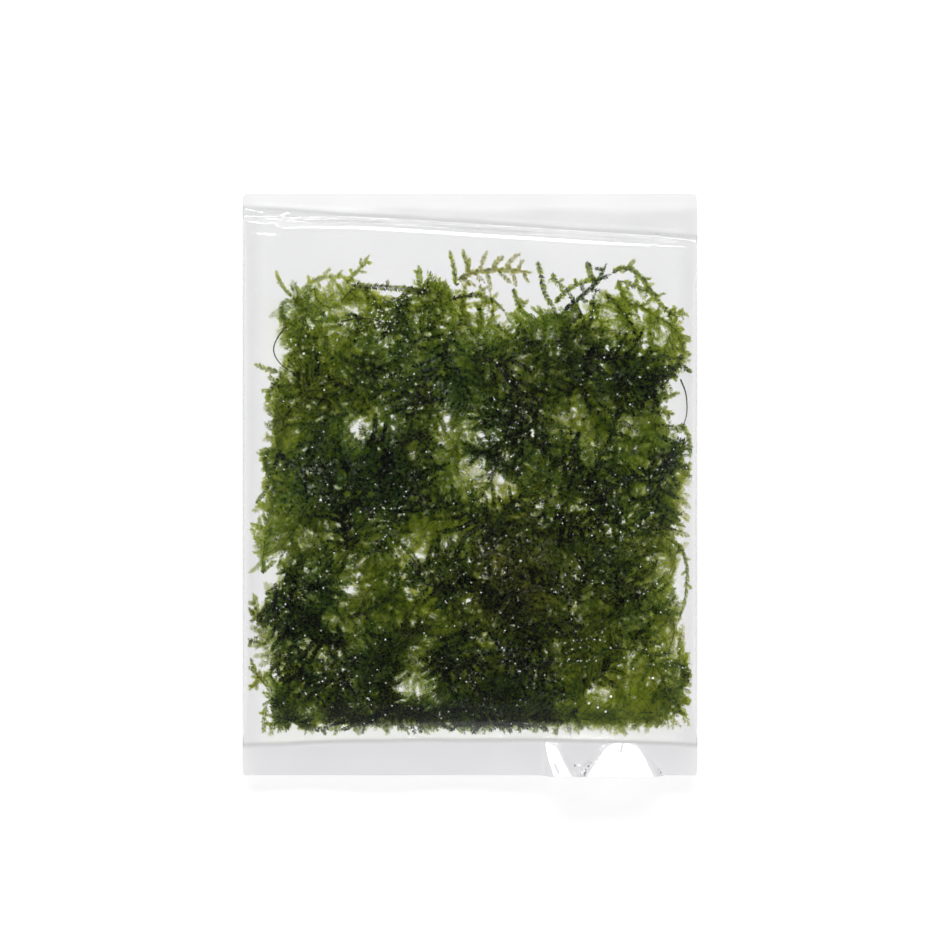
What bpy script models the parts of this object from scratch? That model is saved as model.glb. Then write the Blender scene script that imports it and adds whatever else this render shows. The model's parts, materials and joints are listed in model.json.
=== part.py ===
"""Taiwan moss packed in a clear flat pouch of water, lying on its back.

The pouch is one tube of film that lies flat, closed by a seal across each end. The water in it holds
a mat of moss: tufts of tangled shoots, and single shoots that stand clear of the mat round its edge.
The front of the pouch faces +Z, its width runs along X and its length along Y. The origin is under
the pouch's middle, on the surface it lies on.
"""

import math
import random

import bmesh
import bpy
from mathutils import Vector

MM = 0.001

# The pouch
POUCH_WIDTH = 100.0 * MM
POUCH_LENGTH = 128.0 * MM
FILM = 0.2 * MM
SEAL_GAP = 0.3 * MM             # between the two films of a seal
SEAM_Z = 2.4 * MM               # height of the side folds and the seals above the surface
RISE = 7.8 * MM                 # from the seams up to the middle of the front film, inside
BOTTOM_CREASE_Y = -56.0 * MM    # where the water ends and the bottom seal begins, at mid-width
CREASE_BOW = 1.2 * MM           # how far that crease curves back at the sides
TOP_CREASE_Y = 57.6 * MM        # the same line at the top seal
TOP_SLANT = 0.066               # the top crease falls to the right by this much per unit of width
SIDE_POWER = 3.0                # roundness of the section across the pouch: higher is boxier
END_POWER = 3.0                 # roundness along it
BELLY = 1.5                     # how soon the back film lies flat, going in from the edge
FLAP_WAVE = 0.3 * MM
POUCH_SIDES = 32
POUCH_STATIONS = 14
FLAP_STATIONS = 2

# The water, kept clear of the film, and the pocket in it that holds the moss
WATER_INSET = 0.3 * MM
POCKET_INSET = 0.8 * MM
MOSS_INSET = 1.1 * MM
WATER_SIDES = 24
WATER_STATIONS = 10
HALVES_GAP = 0.4 * MM

# The tufts: levels run from 0 at the back of the pouch to 1 at its front
TIP_PITCH = 5.6 * MM
NOTCH_DEPTH = (0.10, 0.20)
RIM_LEVEL = 0.40
BACK_LEVEL = 0.08
FRONT_LEVEL = 0.72
LUMP = 0.05
SHOULDER = 0.24                 # part of the way in from the rim
CROWN = 0.62

# The single shoots
SHOOT_STEP = 1.25 * MM          # from a leaf tip to the next hollow along a shoot's edge
COMB_STEP = 1.9 * MM            # the same on the comb shoot, whose tips are side branches
SHOOT_THICKNESS = 0.5 * MM
STEM_RADIUS = 0.25 * MM

INNER_HALF_WIDTH = 0.5 * POUCH_WIDTH - FILM
INNER_HALF_LENGTH = 0.5 * POUCH_LENGTH - FILM

# Outlines of the tufts over the pouch's face, in millimetres, each round its tips
TUFTS = {
    "moss_top_left": [
        (-42.5, 36.5), (-40.8, 42.2), (-34.6, 45.7), (-26.3, 45.5), (-16.2, 43.1),
        (-14.9, 36.5), (-15.4, 26.9), (-24.1, 25.0), (-36.0, 26.2), (-38.6, 31.0)],
    "moss_top_middle": [
        (-13.2, 42.7), (-7.5, 46.2), (-3.6, 43.0), (-0.9, 36.1), (6.6, 31.7), (17.1, 30.8),
        (18.7, 22.9), (16.7, 13.3), (6.6, 12.0), (-3.1, 13.3), (-11.8, 14.1), (-13.2, 25.1)],
    "moss_top_right": [
        (21.1, 35.6), (25.4, 40.5), (30.7, 43.1), (37.3, 40.5), (42.1, 35.6), (46.5, 32.6),
        (47.0, 24.7), (42.5, 22.0), (41.2, 14.6), (30.7, 13.5), (20.6, 14.3), (20.4, 25.1)],
    "moss_left": [
        (-43.9, 22.3), (-36.0, 23.6), (-24.1, 22.5), (-14.9, 24.0), (-14.5, 13.3), (-10.1, 10.0),
        (-8.8, 3.2), (-7.5, -4.9), (-15.4, -5.8), (-26.3, -6.2), (-37.3, -5.6), (-45.6, -3.4),
        (-46.5, 5.4), (-44.7, 14.1)],
    "moss_right": [
        (11.0, 8.4), (20.6, 11.5), (31.1, 11.1), (42.1, 12.0), (46.9, 9.3), (47.8, 1.0),
        (44.3, -5.6), (32.9, -6.7), (19.7, -6.0), (15.4, -2.5), (11.8, 1.4)],
    "moss_lower_left": [
        (-47.4, -8.4), (-37.3, -7.8), (-26.3, -8.4), (-15.8, -8.4), (-15.1, -15.7), (-15.8, -25.3),
        (-26.3, -27.1), (-37.3, -27.6), (-45.6, -25.3), (-47.6, -16.6)],
    "moss_centre": [
        (-13.6, -8.4), (-6.6, -6.7), (6.6, -4.7), (17.5, -7.3), (18.7, -16.6), (18.4, -32.3),
        (6.6, -33.7), (-6.6, -33.7), (-12.3, -31.5), (-13.2, -25.3)],
    "moss_lower_right": [
        (20.8, -8.4), (32.9, -9.1), (42.5, -7.8), (43.4, -16.6), (41.7, -25.3), (42.1, -30.6),
        (30.7, -32.1), (20.8, -32.1)],
    "moss_bottom_left": [
        (-45.0, -28.4), (-37.3, -30.0), (-26.3, -29.5), (-15.8, -27.7), (-14.9, -36.3),
        (-16.2, -45.1), (-15.8, -52.5), (-21.9, -54.0), (-32.9, -54.0), (-41.7, -53.0),
        (-44.0, -47.3), (-46.5, -38.5)],
    "moss_bottom_middle": [
        (-12.7, -34.3), (-6.6, -35.9), (6.6, -35.9), (18.4, -34.7), (19.7, -45.1), (19.3, -54.0),
        (2.2, -54.0), (-13.2, -53.4), (-12.7, -45.1)],
    "moss_bottom_right": [
        (21.7, -34.7), (30.7, -34.5), (42.5, -33.0), (47.4, -36.3), (48.0, -47.3), (47.2, -53.4),
        (35.1, -54.0), (22.4, -54.0), (22.4, -45.1)],
}

# Leafy shoots: route over the face in millimetres, half-width at the leaf tips, level
SHOOTS = {
    "comb_shoot": (
        [(-2.6, 45.1), (0.4, 46.4), (3.3, 46.6), (8.8, 46.8), (13.2, 46.2)], 4.6, 0.86),
    "hanging_shoot_right": (
        [(14.9, 48.8), (15.6, 45.0), (16.4, 41.7), (18.2, 38.3), (19.4, 35.5)], 1.0, 0.72),
    "hanging_shoot_left": (
        [(9.6, 40.9), (10.4, 38.9), (12.6, 36.6), (15.6, 35.0)], 1.0, 0.45),
    "tip_shoot": ([(-26.0, 44.2), (-24.1, 47.0), (-22.1, 49.9)], 1.3, 0.86),
    "top_left_shoot": ([(-39.4, 41.4), (-41.4, 44.0), (-42.3, 46.4)], 1.0, 0.84),
    "dark_shoot": ([(21.5, 38.6), (25.2, 41.8), (27.9, 44.4), (29.4, 47.5)], 1.3, 0.88),
    "arched_shoot": (
        [(31.0, 46.2), (33.3, 47.6), (36.4, 46.4), (38.8, 43.3), (41.4, 39.8), (44.7, 36.6),
         (46.4, 38.4)], 1.0, 0.82),
    "right_edge_shoot": (
        [(44.2, -12.4), (46.3, -14.2), (47.4, -18.5), (47.3, -22.9), (46.7, -26.2),
         (45.6, -29.8)], 0.9, 0.74),
    "left_upper_shoot": ([(-43.4, 25.0), (-45.0, 25.4), (-46.7, 26.0)], 0.8, 0.60),
    "left_edge_shoot": ([(-47.2, -28.4), (-46.9, -26.2), (-47.2, -24.4)], 0.9, 0.86),
    "left_low_shoot": ([(-46.0, -42.4), (-47.2, -40.6), (-47.6, -38.4)], 0.8, 0.84),
    "bottom_left_shoot": ([(-44.9, -49.4), (-45.0, -51.6), (-45.2, -54.0)], 0.9, 0.50),
}

# Bare stems: route over the face in millimetres, level
STEMS = {
    "loop_stem": (
        [(-40.0, 34.6), (-41.6, 32.7), (-42.8, 30.2), (-42.6, 28.2), (-41.3, 26.3),
         (-39.6, 25.0)], 0.84),
    "right_arc_stem": (
        [(46.0, 23.0), (47.2, 19.8), (47.4, 15.7), (46.6, 12.8)], 0.84),
    "brown_stem": (
        [(-28.0, 35.6), (-23.5, 36.3), (-19.7, 35.6), (-16.4, 33.9)], 0.88),
}


def rounded(across, power):
    """Height of a round-cornered profile, 1 in the middle and 0 where across reaches -1 or 1."""
    return max(0.0, 1.0 - abs(across) ** power) ** (1.0 / power)


def crease_lines(x, inset):
    """Where the pouch closes at its bottom and top ends, at this place across it."""
    bottom = BOTTOM_CREASE_Y - CREASE_BOW * (x / INNER_HALF_WIDTH) ** 2
    top = TOP_CREASE_Y - TOP_SLANT * x
    return bottom + inset, top - inset


def film_heights(across, along, inset):
    """Heights of the back and front inner faces, at across -1 to 1 and along 0 to 1."""
    swell = rounded(across, SIDE_POWER) * rounded(2.0 * along - 1.0, END_POWER)
    drop = (SEAM_Z - FILM - inset) * math.sin(0.5 * math.pi * min(1.0, BELLY * swell))
    rise = (RISE - inset) * swell
    return SEAM_Z - drop, SEAM_Z + rise


def place_in_pouch(x, y, level):
    """The point over (x, y) that lies this part of the way from the back film to the front one."""
    bottom, top = crease_lines(x, MOSS_INSET)
    along = (y - bottom) / (top - bottom)
    across = x / (INNER_HALF_WIDTH - MOSS_INSET)
    low, high = film_heights(across, along, MOSS_INSET)
    return Vector((x, y, low + level * (high - low)))


def section_across(sides):
    """Places across one section, from the right fold over the front and back under it."""
    places = []
    for index in range(sides):
        angle = 2.0 * math.pi * index / sides
        across = math.copysign(abs(math.cos(angle)) ** (2.0 / SIDE_POWER), math.cos(angle))
        side = 0 if index in (0, sides // 2) else (1 if index < sides // 2 else -1)
        places.append((across, side))
    return places


def pillow_section(along, inset, sides):
    """One closed section of the filled pouch, no thinner than the gap between sealed films."""
    points = []
    for across, side in section_across(sides):
        x = across * (INNER_HALF_WIDTH - inset)
        bottom, top = crease_lines(x, inset)
        low, high = film_heights(across, along, inset)
        z = SEAM_Z
        if side > 0:
            z = max(high, SEAM_Z + 0.5 * SEAL_GAP)
        elif side < 0:
            z = min(low, SEAM_Z - 0.5 * SEAL_GAP)
        points.append(Vector((x, bottom + along * (top - bottom), z)))
    return points


def flap_section(end, part):
    """One section of a seal flap: end is -1 at the bottom, 1 at the top; part runs 0 to 1 outwards."""
    points = []
    for across, side in section_across(POUCH_SIDES):
        x = across * INNER_HALF_WIDTH
        crease = crease_lines(x, 0.0)[0 if end < 0 else 1]
        y = crease + part * (end * INNER_HALF_LENGTH - crease)
        wave = FLAP_WAVE * part * math.sin(3.0 * math.pi * across + end)
        points.append(Vector((x, y, SEAM_Z + wave + 0.5 * side * SEAL_GAP)))
    return points


def pillow_sections(inset, stations, sides):
    """Sections from the bottom crease to the top one, closer together near the ends."""
    return [
        pillow_section(0.5 - 0.5 * math.cos(math.pi * index / stations), inset, sides)
        for index in range(stations + 1)]


def loft_bmesh(sections):
    """A mesh with one ring of points for each section, joined by bands of faces."""
    shape = bmesh.new()
    rings = [[shape.verts.new(point) for point in section] for section in sections]
    for ring, following in zip(rings, rings[1:]):
        for index in range(len(ring)):
            step = (index + 1) % len(ring)
            shape.faces.new((ring[index], ring[step], following[step], following[index]))
    return shape, rings


def close_end(shape, ring, left_open=()):
    """Faces from the front half of an end ring to its back half, each left_open one skipped."""
    count = len(ring)
    for index in range(count // 2):
        if index in left_open:
            continue
        corners = [ring[index], ring[index + 1], ring[count - index - 1], ring[-index]]
        unique = list(dict.fromkeys(corners))
        shape.faces.new(unique)


def principled(name, colour, roughness, transmission=0.0, ior=1.45):
    """A material of one colour, with its roughness and how far it lets light through."""
    material = bpy.data.materials.new(name)
    material.use_nodes = True
    shader = material.node_tree.nodes["Principled BSDF"]
    shader.inputs["Base Color"].default_value = (*colour, 1.0)
    shader.inputs["Roughness"].default_value = roughness
    shader.inputs["Metallic"].default_value = 0.0
    shader.inputs["Transmission Weight"].default_value = transmission
    shader.inputs["IOR"].default_value = ior
    material.diffuse_color = (*colour, 1.0)
    return material


def add_object(name, shape, material, collection):
    """An object of this name made from a bmesh, its faces turned outwards."""
    bmesh.ops.recalc_face_normals(shape, faces=shape.faces)
    mesh = bpy.data.meshes.new(name)
    shape.to_mesh(mesh)
    shape.free()
    mesh.materials.append(material)
    mesh.shade_smooth()
    mesh.set_sharp_from_angle(angle=math.radians(40.0))
    thing = bpy.data.objects.new(name, mesh)
    collection.objects.link(thing)
    return thing


def add_boolean(thing, cutter):
    """Take the cutter's shape away from the object."""
    cut = thing.modifiers.new(f"less_{cutter.name}", "BOOLEAN")
    cut.operation = "DIFFERENCE"
    cut.solver = "EXACT"
    cut.object = cutter


def hide_cutter(cutter):
    """Show a cutter as wire only, and keep it out of renders."""
    cutter.hide_render = True
    cutter.display_type = "WIRE"


def make_pouch(material, collection):
    """The tube of film with a flap at each end. Its two films stay parted by a slit in the top seal."""
    parts = [index / FLAP_STATIONS for index in range(1, FLAP_STATIONS + 1)]
    sections = [flap_section(-1, part) for part in reversed(parts)]
    sections += pillow_sections(0.0, POUCH_STATIONS, POUCH_SIDES)
    sections += [flap_section(1, part) for part in parts]
    shape, rings = loft_bmesh(sections)
    slit = POUCH_SIDES // 4
    close_end(shape, rings[0])
    close_end(shape, rings[-1], left_open=(slit,))
    pouch = add_object("pouch", shape, material, collection)
    film = pouch.modifiers.new("film", "SOLIDIFY")
    film.thickness = FILM
    film.offset = 1.0
    return pouch


def make_pillow(name, inset, material, collection):
    """A closed solid that fills the pouch, this far in from its film."""
    shape, rings = loft_bmesh(pillow_sections(inset, WATER_STATIONS, WATER_SIDES))
    close_end(shape, rings[0])
    close_end(shape, rings[-1])
    return add_object(name, shape, material, collection)


def make_water(material, collection, cutters):
    """The water in two halves, parted at the height of the seams, round a pocket for the moss."""
    pocket = make_pillow("moss_pocket", POCKET_INSET, material, cutters)
    hide_cutter(pocket)
    block_height = 4.0 * RISE
    for name, side in (("water_back", 1.0), ("water_front", -1.0)):
        shape = bmesh.new()
        bmesh.ops.create_cube(shape, size=1.0)
        bmesh.ops.scale(shape, vec=(2 * POUCH_WIDTH, 2 * POUCH_LENGTH, block_height), verts=shape.verts)
        height = SEAM_Z + side * 0.5 * (block_height - HALVES_GAP)
        bmesh.ops.translate(shape, vec=(0.0, 0.0, height), verts=shape.verts)
        block = add_object(f"{name}_block", shape, material, cutters)
        hide_cutter(block)
        half = make_pillow(name, WATER_INSET, material, collection)
        add_boolean(half, pocket)
        add_boolean(half, block)


def resample(points, pitch, closed):
    """Points evenly spaced along a smooth curve through the given ones, about a pitch apart."""
    count = len(points)
    spans = count if closed else count - 1
    dense = []
    for span in range(spans):
        if closed:
            before, start, end, after = (points[(span + shift) % count] for shift in (-1, 0, 1, 2))
        else:
            start, end = points[span], points[span + 1]
            before = points[span - 1] if span else start * 2.0 - end
            after = points[span + 2] if span + 2 < count else end * 2.0 - start
        for fine in range(12):
            t = fine / 12.0
            dense.append(0.5 * (
                2.0 * start + t * (end - before)
                + t * t * (2.0 * before - 5.0 * start + 4.0 * end - after)
                + t * t * t * (3.0 * start - 3.0 * end + after - before)))
    dense.append(points[0] if closed else points[-1])
    lengths = [0.0]
    for start, end in zip(dense, dense[1:]):
        lengths.append(lengths[-1] + (end - start).length)
    steps = max(2, round(lengths[-1] / pitch))
    result = []
    index = 0
    for step in range(steps if closed else steps + 1):
        target = lengths[-1] * step / steps
        while index < len(lengths) - 2 and lengths[index + 1] < target:
            index += 1
        part = (target - lengths[index]) / (lengths[index + 1] - lengths[index])
        result.append(dense[index].lerp(dense[index + 1], part))
    return result


def flat_route(points_mm):
    """A route over the face, from millimetres."""
    return [Vector((x, y)) * MM for x, y in points_mm]


def make_tuft(name, outline, seed, material, collection):
    """A lump of tangled shoots: a rim of tips and hollows, with a lumpy front and back."""
    chance = random.Random(seed)
    centre = sum(outline, Vector((0.0, 0.0))) / len(outline)
    tips = resample(outline, TIP_PITCH, closed=True)
    rim = []
    plain = []
    for tip, following in zip(tips, tips[1:] + tips[:1]):
        middle = 0.5 * (tip + following)
        plain += [tip, middle]
        rim += [tip, middle.lerp(centre, chance.uniform(*NOTCH_DEPTH))]

    def ring_at(route, part, level, lump):
        """A ring this part of the way in from the route to the centre, raised by lumps."""
        points = [point.lerp(centre, part) for point in route]
        return [place_in_pouch(p.x, p.y, level + chance.uniform(-lump, lump)) for p in points]

    sections = [
        ring_at(plain, CROWN, BACK_LEVEL, 0.4 * LUMP),
        ring_at(plain, SHOULDER, BACK_LEVEL, 0.4 * LUMP),
        ring_at(rim, 0.0, RIM_LEVEL, LUMP),
        ring_at(plain, SHOULDER, FRONT_LEVEL, LUMP),
        ring_at(plain, CROWN, FRONT_LEVEL, LUMP)]
    shape, rings = loft_bmesh(sections)
    for ring, level in ((rings[0], BACK_LEVEL), (rings[-1], FRONT_LEVEL)):
        pole = shape.verts.new(place_in_pouch(centre.x, centre.y, level))
        for first, second in zip(ring, ring[1:] + ring[:1]):
            shape.faces.new((first, second, pole))
    return add_object(name, shape, material, collection)


def make_shoot(name, route, half_width, level, material, collection):
    """A leafy shoot as a flat ribbon with a raised rib, its edges a row of tips and hollows."""
    step = COMB_STEP if half_width > COMB_STEP else SHOOT_STEP
    centres = resample(route, step, closed=False)
    sections = []
    last = len(centres) - 1
    for index, centre in enumerate(centres):
        ahead = (centres[min(index + 1, last)] - centres[max(index - 1, 0)]).normalized()
        side = Vector((-ahead.y, ahead.x))
        taper = min(1.0, 0.45 + 2.2 * (1.0 - index / last))
        width = half_width * taper * (1.0 if index % 2 else 0.42)
        if index in (0, last):
            width = 0.35 * MM
        left = centre + side * width
        right = centre - side * width
        middle = place_in_pouch(centre.x, centre.y, level)
        rib = Vector((0.0, 0.0, 0.5 * SHOOT_THICKNESS))
        sections.append([
            place_in_pouch(left.x, left.y, level), middle + rib,
            place_in_pouch(right.x, right.y, level), middle - rib])
    shape, rings = loft_bmesh(sections)
    shape.faces.new(rings[0])
    shape.faces.new(rings[-1])
    return add_object(name, shape, material, collection)


def make_stem(name, route, level, material, collection):
    """A bare stem: a round wire along its route."""
    points = resample(route, 5.0 * STEM_RADIUS, closed=False)
    curve = bpy.data.curves.new(name, "CURVE")
    curve.dimensions = "3D"
    curve.bevel_depth = STEM_RADIUS
    curve.bevel_resolution = 1
    curve.use_fill_caps = True
    spline = curve.splines.new("POLY")
    spline.points.add(len(points) - 1)
    for knot, point in zip(spline.points, points):
        knot.co = (*place_in_pouch(point.x, point.y, level), 1.0)
    curve.materials.append(material)
    thing = bpy.data.objects.new(name, curve)
    collection.objects.link(thing)
    return thing


def main():
    """Clear the scene and build every piece."""
    for thing in list(bpy.data.objects):
        bpy.data.objects.remove(thing)
    parts = bpy.data.collections.new("taiwan_moss")
    cutters = bpy.data.collections.new("cutters")
    for collection in (parts, cutters):
        bpy.context.scene.collection.children.link(collection)

    film = principled("film", (0.93, 0.94, 0.94), 0.12, transmission=0.95, ior=1.5)
    water = principled("water", (0.93, 0.96, 0.95), 0.02, transmission=1.0, ior=1.33)
    moss = principled("moss", (0.05, 0.09, 0.025), 0.6)
    shoot = principled("shoot", (0.20, 0.33, 0.06), 0.55)
    stem = principled("stem", (0.30, 0.26, 0.10), 0.6)

    make_pouch(film, parts)
    make_water(water, parts, cutters)
    for seed, (name, outline) in enumerate(TUFTS.items()):
        make_tuft(name, flat_route(outline), seed, moss, parts)
    for name, (route, half_width, level) in SHOOTS.items():
        make_shoot(name, flat_route(route), half_width * MM, level, shoot, parts)
    for name, (route, level) in STEMS.items():
        make_stem(name, flat_route(route), level, stem, parts)


main()
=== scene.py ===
"""The looks of a clear pouch of taiwan moss: its film, its water, its leafy shoots and the air in them.

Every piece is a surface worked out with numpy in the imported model's own frame, in metres. The front
of the pouch faces +Z, its width runs along X and its length along Y.
"""
import json
import math

import bpy
import numpy as np
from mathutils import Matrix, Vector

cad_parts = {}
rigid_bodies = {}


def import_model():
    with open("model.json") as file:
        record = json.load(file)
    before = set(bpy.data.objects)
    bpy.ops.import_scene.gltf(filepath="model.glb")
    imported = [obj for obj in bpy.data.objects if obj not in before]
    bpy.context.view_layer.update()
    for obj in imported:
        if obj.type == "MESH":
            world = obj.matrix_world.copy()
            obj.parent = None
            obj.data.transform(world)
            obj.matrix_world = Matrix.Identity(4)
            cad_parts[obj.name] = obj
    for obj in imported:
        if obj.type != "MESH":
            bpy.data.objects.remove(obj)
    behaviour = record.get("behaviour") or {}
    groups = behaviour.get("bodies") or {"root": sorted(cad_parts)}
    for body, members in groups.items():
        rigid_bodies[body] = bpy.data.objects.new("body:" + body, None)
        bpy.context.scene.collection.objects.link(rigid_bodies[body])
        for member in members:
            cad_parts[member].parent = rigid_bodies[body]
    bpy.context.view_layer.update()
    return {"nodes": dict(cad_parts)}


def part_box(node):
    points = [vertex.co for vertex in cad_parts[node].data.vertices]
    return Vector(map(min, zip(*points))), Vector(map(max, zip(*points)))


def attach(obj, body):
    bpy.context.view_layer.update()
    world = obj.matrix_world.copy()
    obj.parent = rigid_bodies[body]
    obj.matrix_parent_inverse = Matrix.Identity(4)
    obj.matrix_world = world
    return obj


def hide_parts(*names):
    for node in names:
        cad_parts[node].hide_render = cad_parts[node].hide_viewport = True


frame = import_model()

bl_info = {
    "name": "Taiwan Moss Pouch",
    "version": (1, 0, 0),
    "blender": (4, 5, 0),
    "location": "View3D > Sidebar > Moss",
    "description": "Builds a clear pouch of water with a mat of leafy moss shoots in it",
    "category": "Add Mesh",
}

MM = 0.001
TO_MM = 1000.0

# The pouch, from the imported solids
POUCH_LOW, POUCH_HIGH = (np.array(corner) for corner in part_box("pouch"))
FILM = 0.2 * MM
SEAL_GAP = 0.3 * MM
HALF_WIDTH = 0.5 * (POUCH_HIGH[0] - POUCH_LOW[0]) - FILM
HALF_LENGTH = 0.5 * (POUCH_HIGH[1] - POUCH_LOW[1]) - FILM
SEAM_Z = 2.4 * MM
RISE = POUCH_HIGH[2] - FILM - SEAM_Z
BOTTOM_CREASE_Y = -56.0 * MM
CREASE_BOW = 1.2 * MM
CORNER = 1.1 * MM
TOP_CREASE_Y = 57.6 * MM
TOP_SLANT = 0.066
SIDE_POWER = 3.0
END_POWER = 3.0
BELLY = 1.5

# Points round a section of the film, and sections along its filled part
SIDES = 384
STATIONS = 88

# Width of the low shelf under the top crease, over x, both in millimetres
SHELF = ((-50.0, 2.0), (-39.5, 2.0), (-26.0, 0.6), (-12.0, 0.0), (50.0, 0.0))
# Distance from the top and from the bottom crease at which the films have reached their full height
SWING = 3.2 * MM
FOOT = 9.0 * MM

# Lobes of the bottom flap that curl up, in millimetres: x of the middle at the crease and at the free
# end, half-width at the crease and what it gains by the root of the distance from the crease
LOBES = ((17.3, 20.6, 0.9, 0.62), (33.5, 32.7, 1.2, 2.55))
LOBE_SLOPE = 0.60
LOBE_LENGTH = 8.0 * MM

# Small folds of the front film in millimetres: ends, half-width and height
FOLDS = (
    (-49.0, 60.0, -45.5, 59.2, 0.5, 0.35), (-47.5, 56.0, -43.0, 55.6, 1.3, -0.5),
    (-44.3, 57.0, -39.8, 59.2, 0.55, 0.4), (-40.5, 55.8, -33.0, 56.3, 0.8, 0.3),
    (40.3, 52.6, 41.3, 55.8, 0.5, 0.4), (44.5, 54.6, 48.5, 54.2, 0.9, -0.4),
    (47.7, -45.2, 48.4, -47.9, 0.4, 0.35), (48.4, -47.9, 49.4, -48.5, 0.4, 0.35))

# The mat's edges in millimetres: top over x, left over y, right over y, and its bottom
TOP_EDGE = (
    (-44.0, 34.0), (-42.5, 38.0), (-40.8, 42.2), (-34.6, 46.0), (-26.3, 45.7), (-16.2, 43.5),
    (-13.2, 43.0), (-7.5, 47.0), (-3.6, 43.5), (-0.9, 41.0), (6.6, 40.0), (17.1, 38.5), (21.1, 39.5),
    (25.4, 41.0), (30.7, 44.0), (37.3, 42.0), (42.1, 38.5), (46.5, 36.0), (48.0, 33.0))
LEFT_EDGE = (
    (-54.0, -44.6), (-50.0, -45.0), (-38.0, -47.5), (-28.0, -48.3), (-24.0, -46.5), (-16.0, -48.3),
    (-8.0, -48.0), (-3.0, -46.0), (5.0, -47.0), (14.0, -45.0), (22.0, -44.3), (30.0, -42.0),
    (42.0, -43.0))
RIGHT_EDGE = (
    (-54.0, 48.4), (-47.0, 48.9), (-36.0, 48.6), (-30.0, 46.6), (-16.0, 47.0), (-7.0, 47.8),
    (1.0, 48.6), (9.0, 48.4), (13.0, 43.5), (20.0, 43.5), (24.0, 48.0), (33.0, 48.6))
BOTTOM_EDGE = -54.5
# How far from its edges the mat is thinner and its plants turn back, in millimetres
EDGE_ZONE = 7.0

# See-through gaps in the mat: centre and half-sizes in millimetres
GAPS = (
    (-5.9, 33.9, 1.5, 1.4), (5.5, 38.5, 3.0, 3.2), (12.5, 39.5, 3.5, 2.5), (15.9, 32.6, 3.8, 1.5),
    (-26.3, 37.6, 3.2, 1.2), (-41.2, 29.0, 1.4, 3.2), (-6.1, 9.8, 2.2, 1.4), (1.5, 9.3, 1.8, 1.5),
    (2.2, 3.2, 4.0, 1.9),
    (6.5, -2.0, 5.5, 1.3), (-2.6, 0.5, 1.5, 1.2), (-41.7, -6.7, 1.6, 1.4), (-31.8, -9.5, 1.2, 1.0),
    (-42.1, -15.9, 1.1, 1.0), (-10.8, -16.4, 3.2, 1.1), (-24.8, -20.3, 2.0, 1.2),
    (-27.2, -26.4, 1.4, 1.0), (-13.8, -38.0, 1.3, 2.2), (-32.2, -37.8, 2.4, 0.8),
    (28.9, -45.7, 4.6, 1.4), (39.9, -42.2, 2.4, 1.0), (44.7, 17.0, 1.6, 3.6), (45.8, -22.7, 1.5, 4.6),
    (30.0, 37.0, 1.6, 2.6), (37.6, 36.5, 1.4, 2.6), (42.6, 33.0, 1.0, 2.0), (25.5, 38.0, 1.4, 1.8))

# Thin and thick areas: centre and half-sizes in millimetres, share of the usual thickness, and hue
# from blue-green at -1 to brown at 1
AREAS = (
    (-32.5, 44.4, 6.0, 2.5, 0.5, 0.1), (-40.1, 26.2, 3.5, 2.5, 0.4, 0.0),
    (38.0, 37.0, 9.0, 9.0, 0.5, 0.1), (46.5, -7.8, 3.0, 9.0, 0.8, 0.0),
    (40.0, -44.0, 10.0, 9.5, 0.7, 0.1), (-43.5, -14.4, 5.5, 11.0, 0.55, 0.0),
    (17.0, 41.0, 6.0, 4.0, 1.4, 0.0), (25.0, 23.0, 14.0, 5.0, 1.2, 0.0),
    (-3.2, 14.0, 5.0, 4.0, 0.65, 0.0), (15.7, -4.2, 5.0, 4.0, 0.95, 0.1),
    (-12.6, -13.3, 4.5, 4.0, 0.8, 0.1), (-27.0, -12.0, 9.0, 6.0, 1.3, -0.1),
    (25.0, -13.0, 6.0, 4.0, 1.4, 0.0), (-36.0, -30.0, 8.0, 5.0, 1.2, -0.1),
    (34.0, -38.0, 7.0, 5.0, 1.2, 0.0), (2.0, -51.5, 26.0, 4.5, 1.25, -0.2),
    (46.0, 2.0, 4.0, 14.0, 1.3, 0.0), (15.7, 5.0, 5.0, 5.0, 1.3, -0.1),
    (-24.1, 12.0, 4.0, 3.5, 0.6, 0.1), (21.9, 16.3, 4.0, 4.0, 0.6, 0.1),
    (-6.6, -12.2, 3.5, 3.0, 0.6, 0.1), (-12.1, -24.0, 4.0, 4.0, 0.5, 0.1),
    (-12.0, -43.0, 3.5, 8.0, 0.5, 0.0), (-22.0, 38.0, 12.0, 5.5, 0.6, 0.1),
    (3.0, 3.0, 9.0, 8.0, 0.5, 0.0), (-24.8, -18.0, 4.0, 5.0, 0.6, 0.1),
    (-44.5, -38.0, 3.5, 12.0, 0.5, 0.1), (-25.9, 2.1, 19.0, 7.5, 1.5, -0.5),
    (31.8, 24.5, 12.0, 7.0, 1.4, -0.1), (-20.8, -42.9, 8.0, 8.5, 1.5, -0.4),
    (7.0, 38.0, 9.0, 4.5, 0.25, 0.1),
    (6.6, -46.2, 13.0, 8.0, 1.6, -0.5), (9.9, -20.9, 10.0, 13.0, 1.5, 0.8),
    (-39.0, -27.0, 5.0, 7.0, 1.3, -0.7), (-5.0, 22.0, 10.0, 7.0, 1.2, -0.3),
    (24.0, -30.0, 10.0, 8.0, 1.3, 0.2))

# Larger air bubbles in millimetres: place and radius
AIR = (
    (-32.5, -3.4, 0.45), (25.9, -47.7, 0.42), (27.9, -48.6, 0.42), (29.6, -49.5, 0.42),
    (-20.8, -5.2, 0.30), (-18.9, -5.0, 0.26), (-17.1, -5.2, 0.30), (-15.4, -5.1, 0.26),
    (30.7, -46.2, 0.50), (39.9, -42.2, 0.45), (-18.0, 47.5, 0.40), (-46.5, 42.4, 0.36),
    (-28.5, 54.1, 0.30), (48.0, -46.0, 0.45), (-36.2, 28.5, 0.40), (11.0, -16.6, 0.42))

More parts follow.
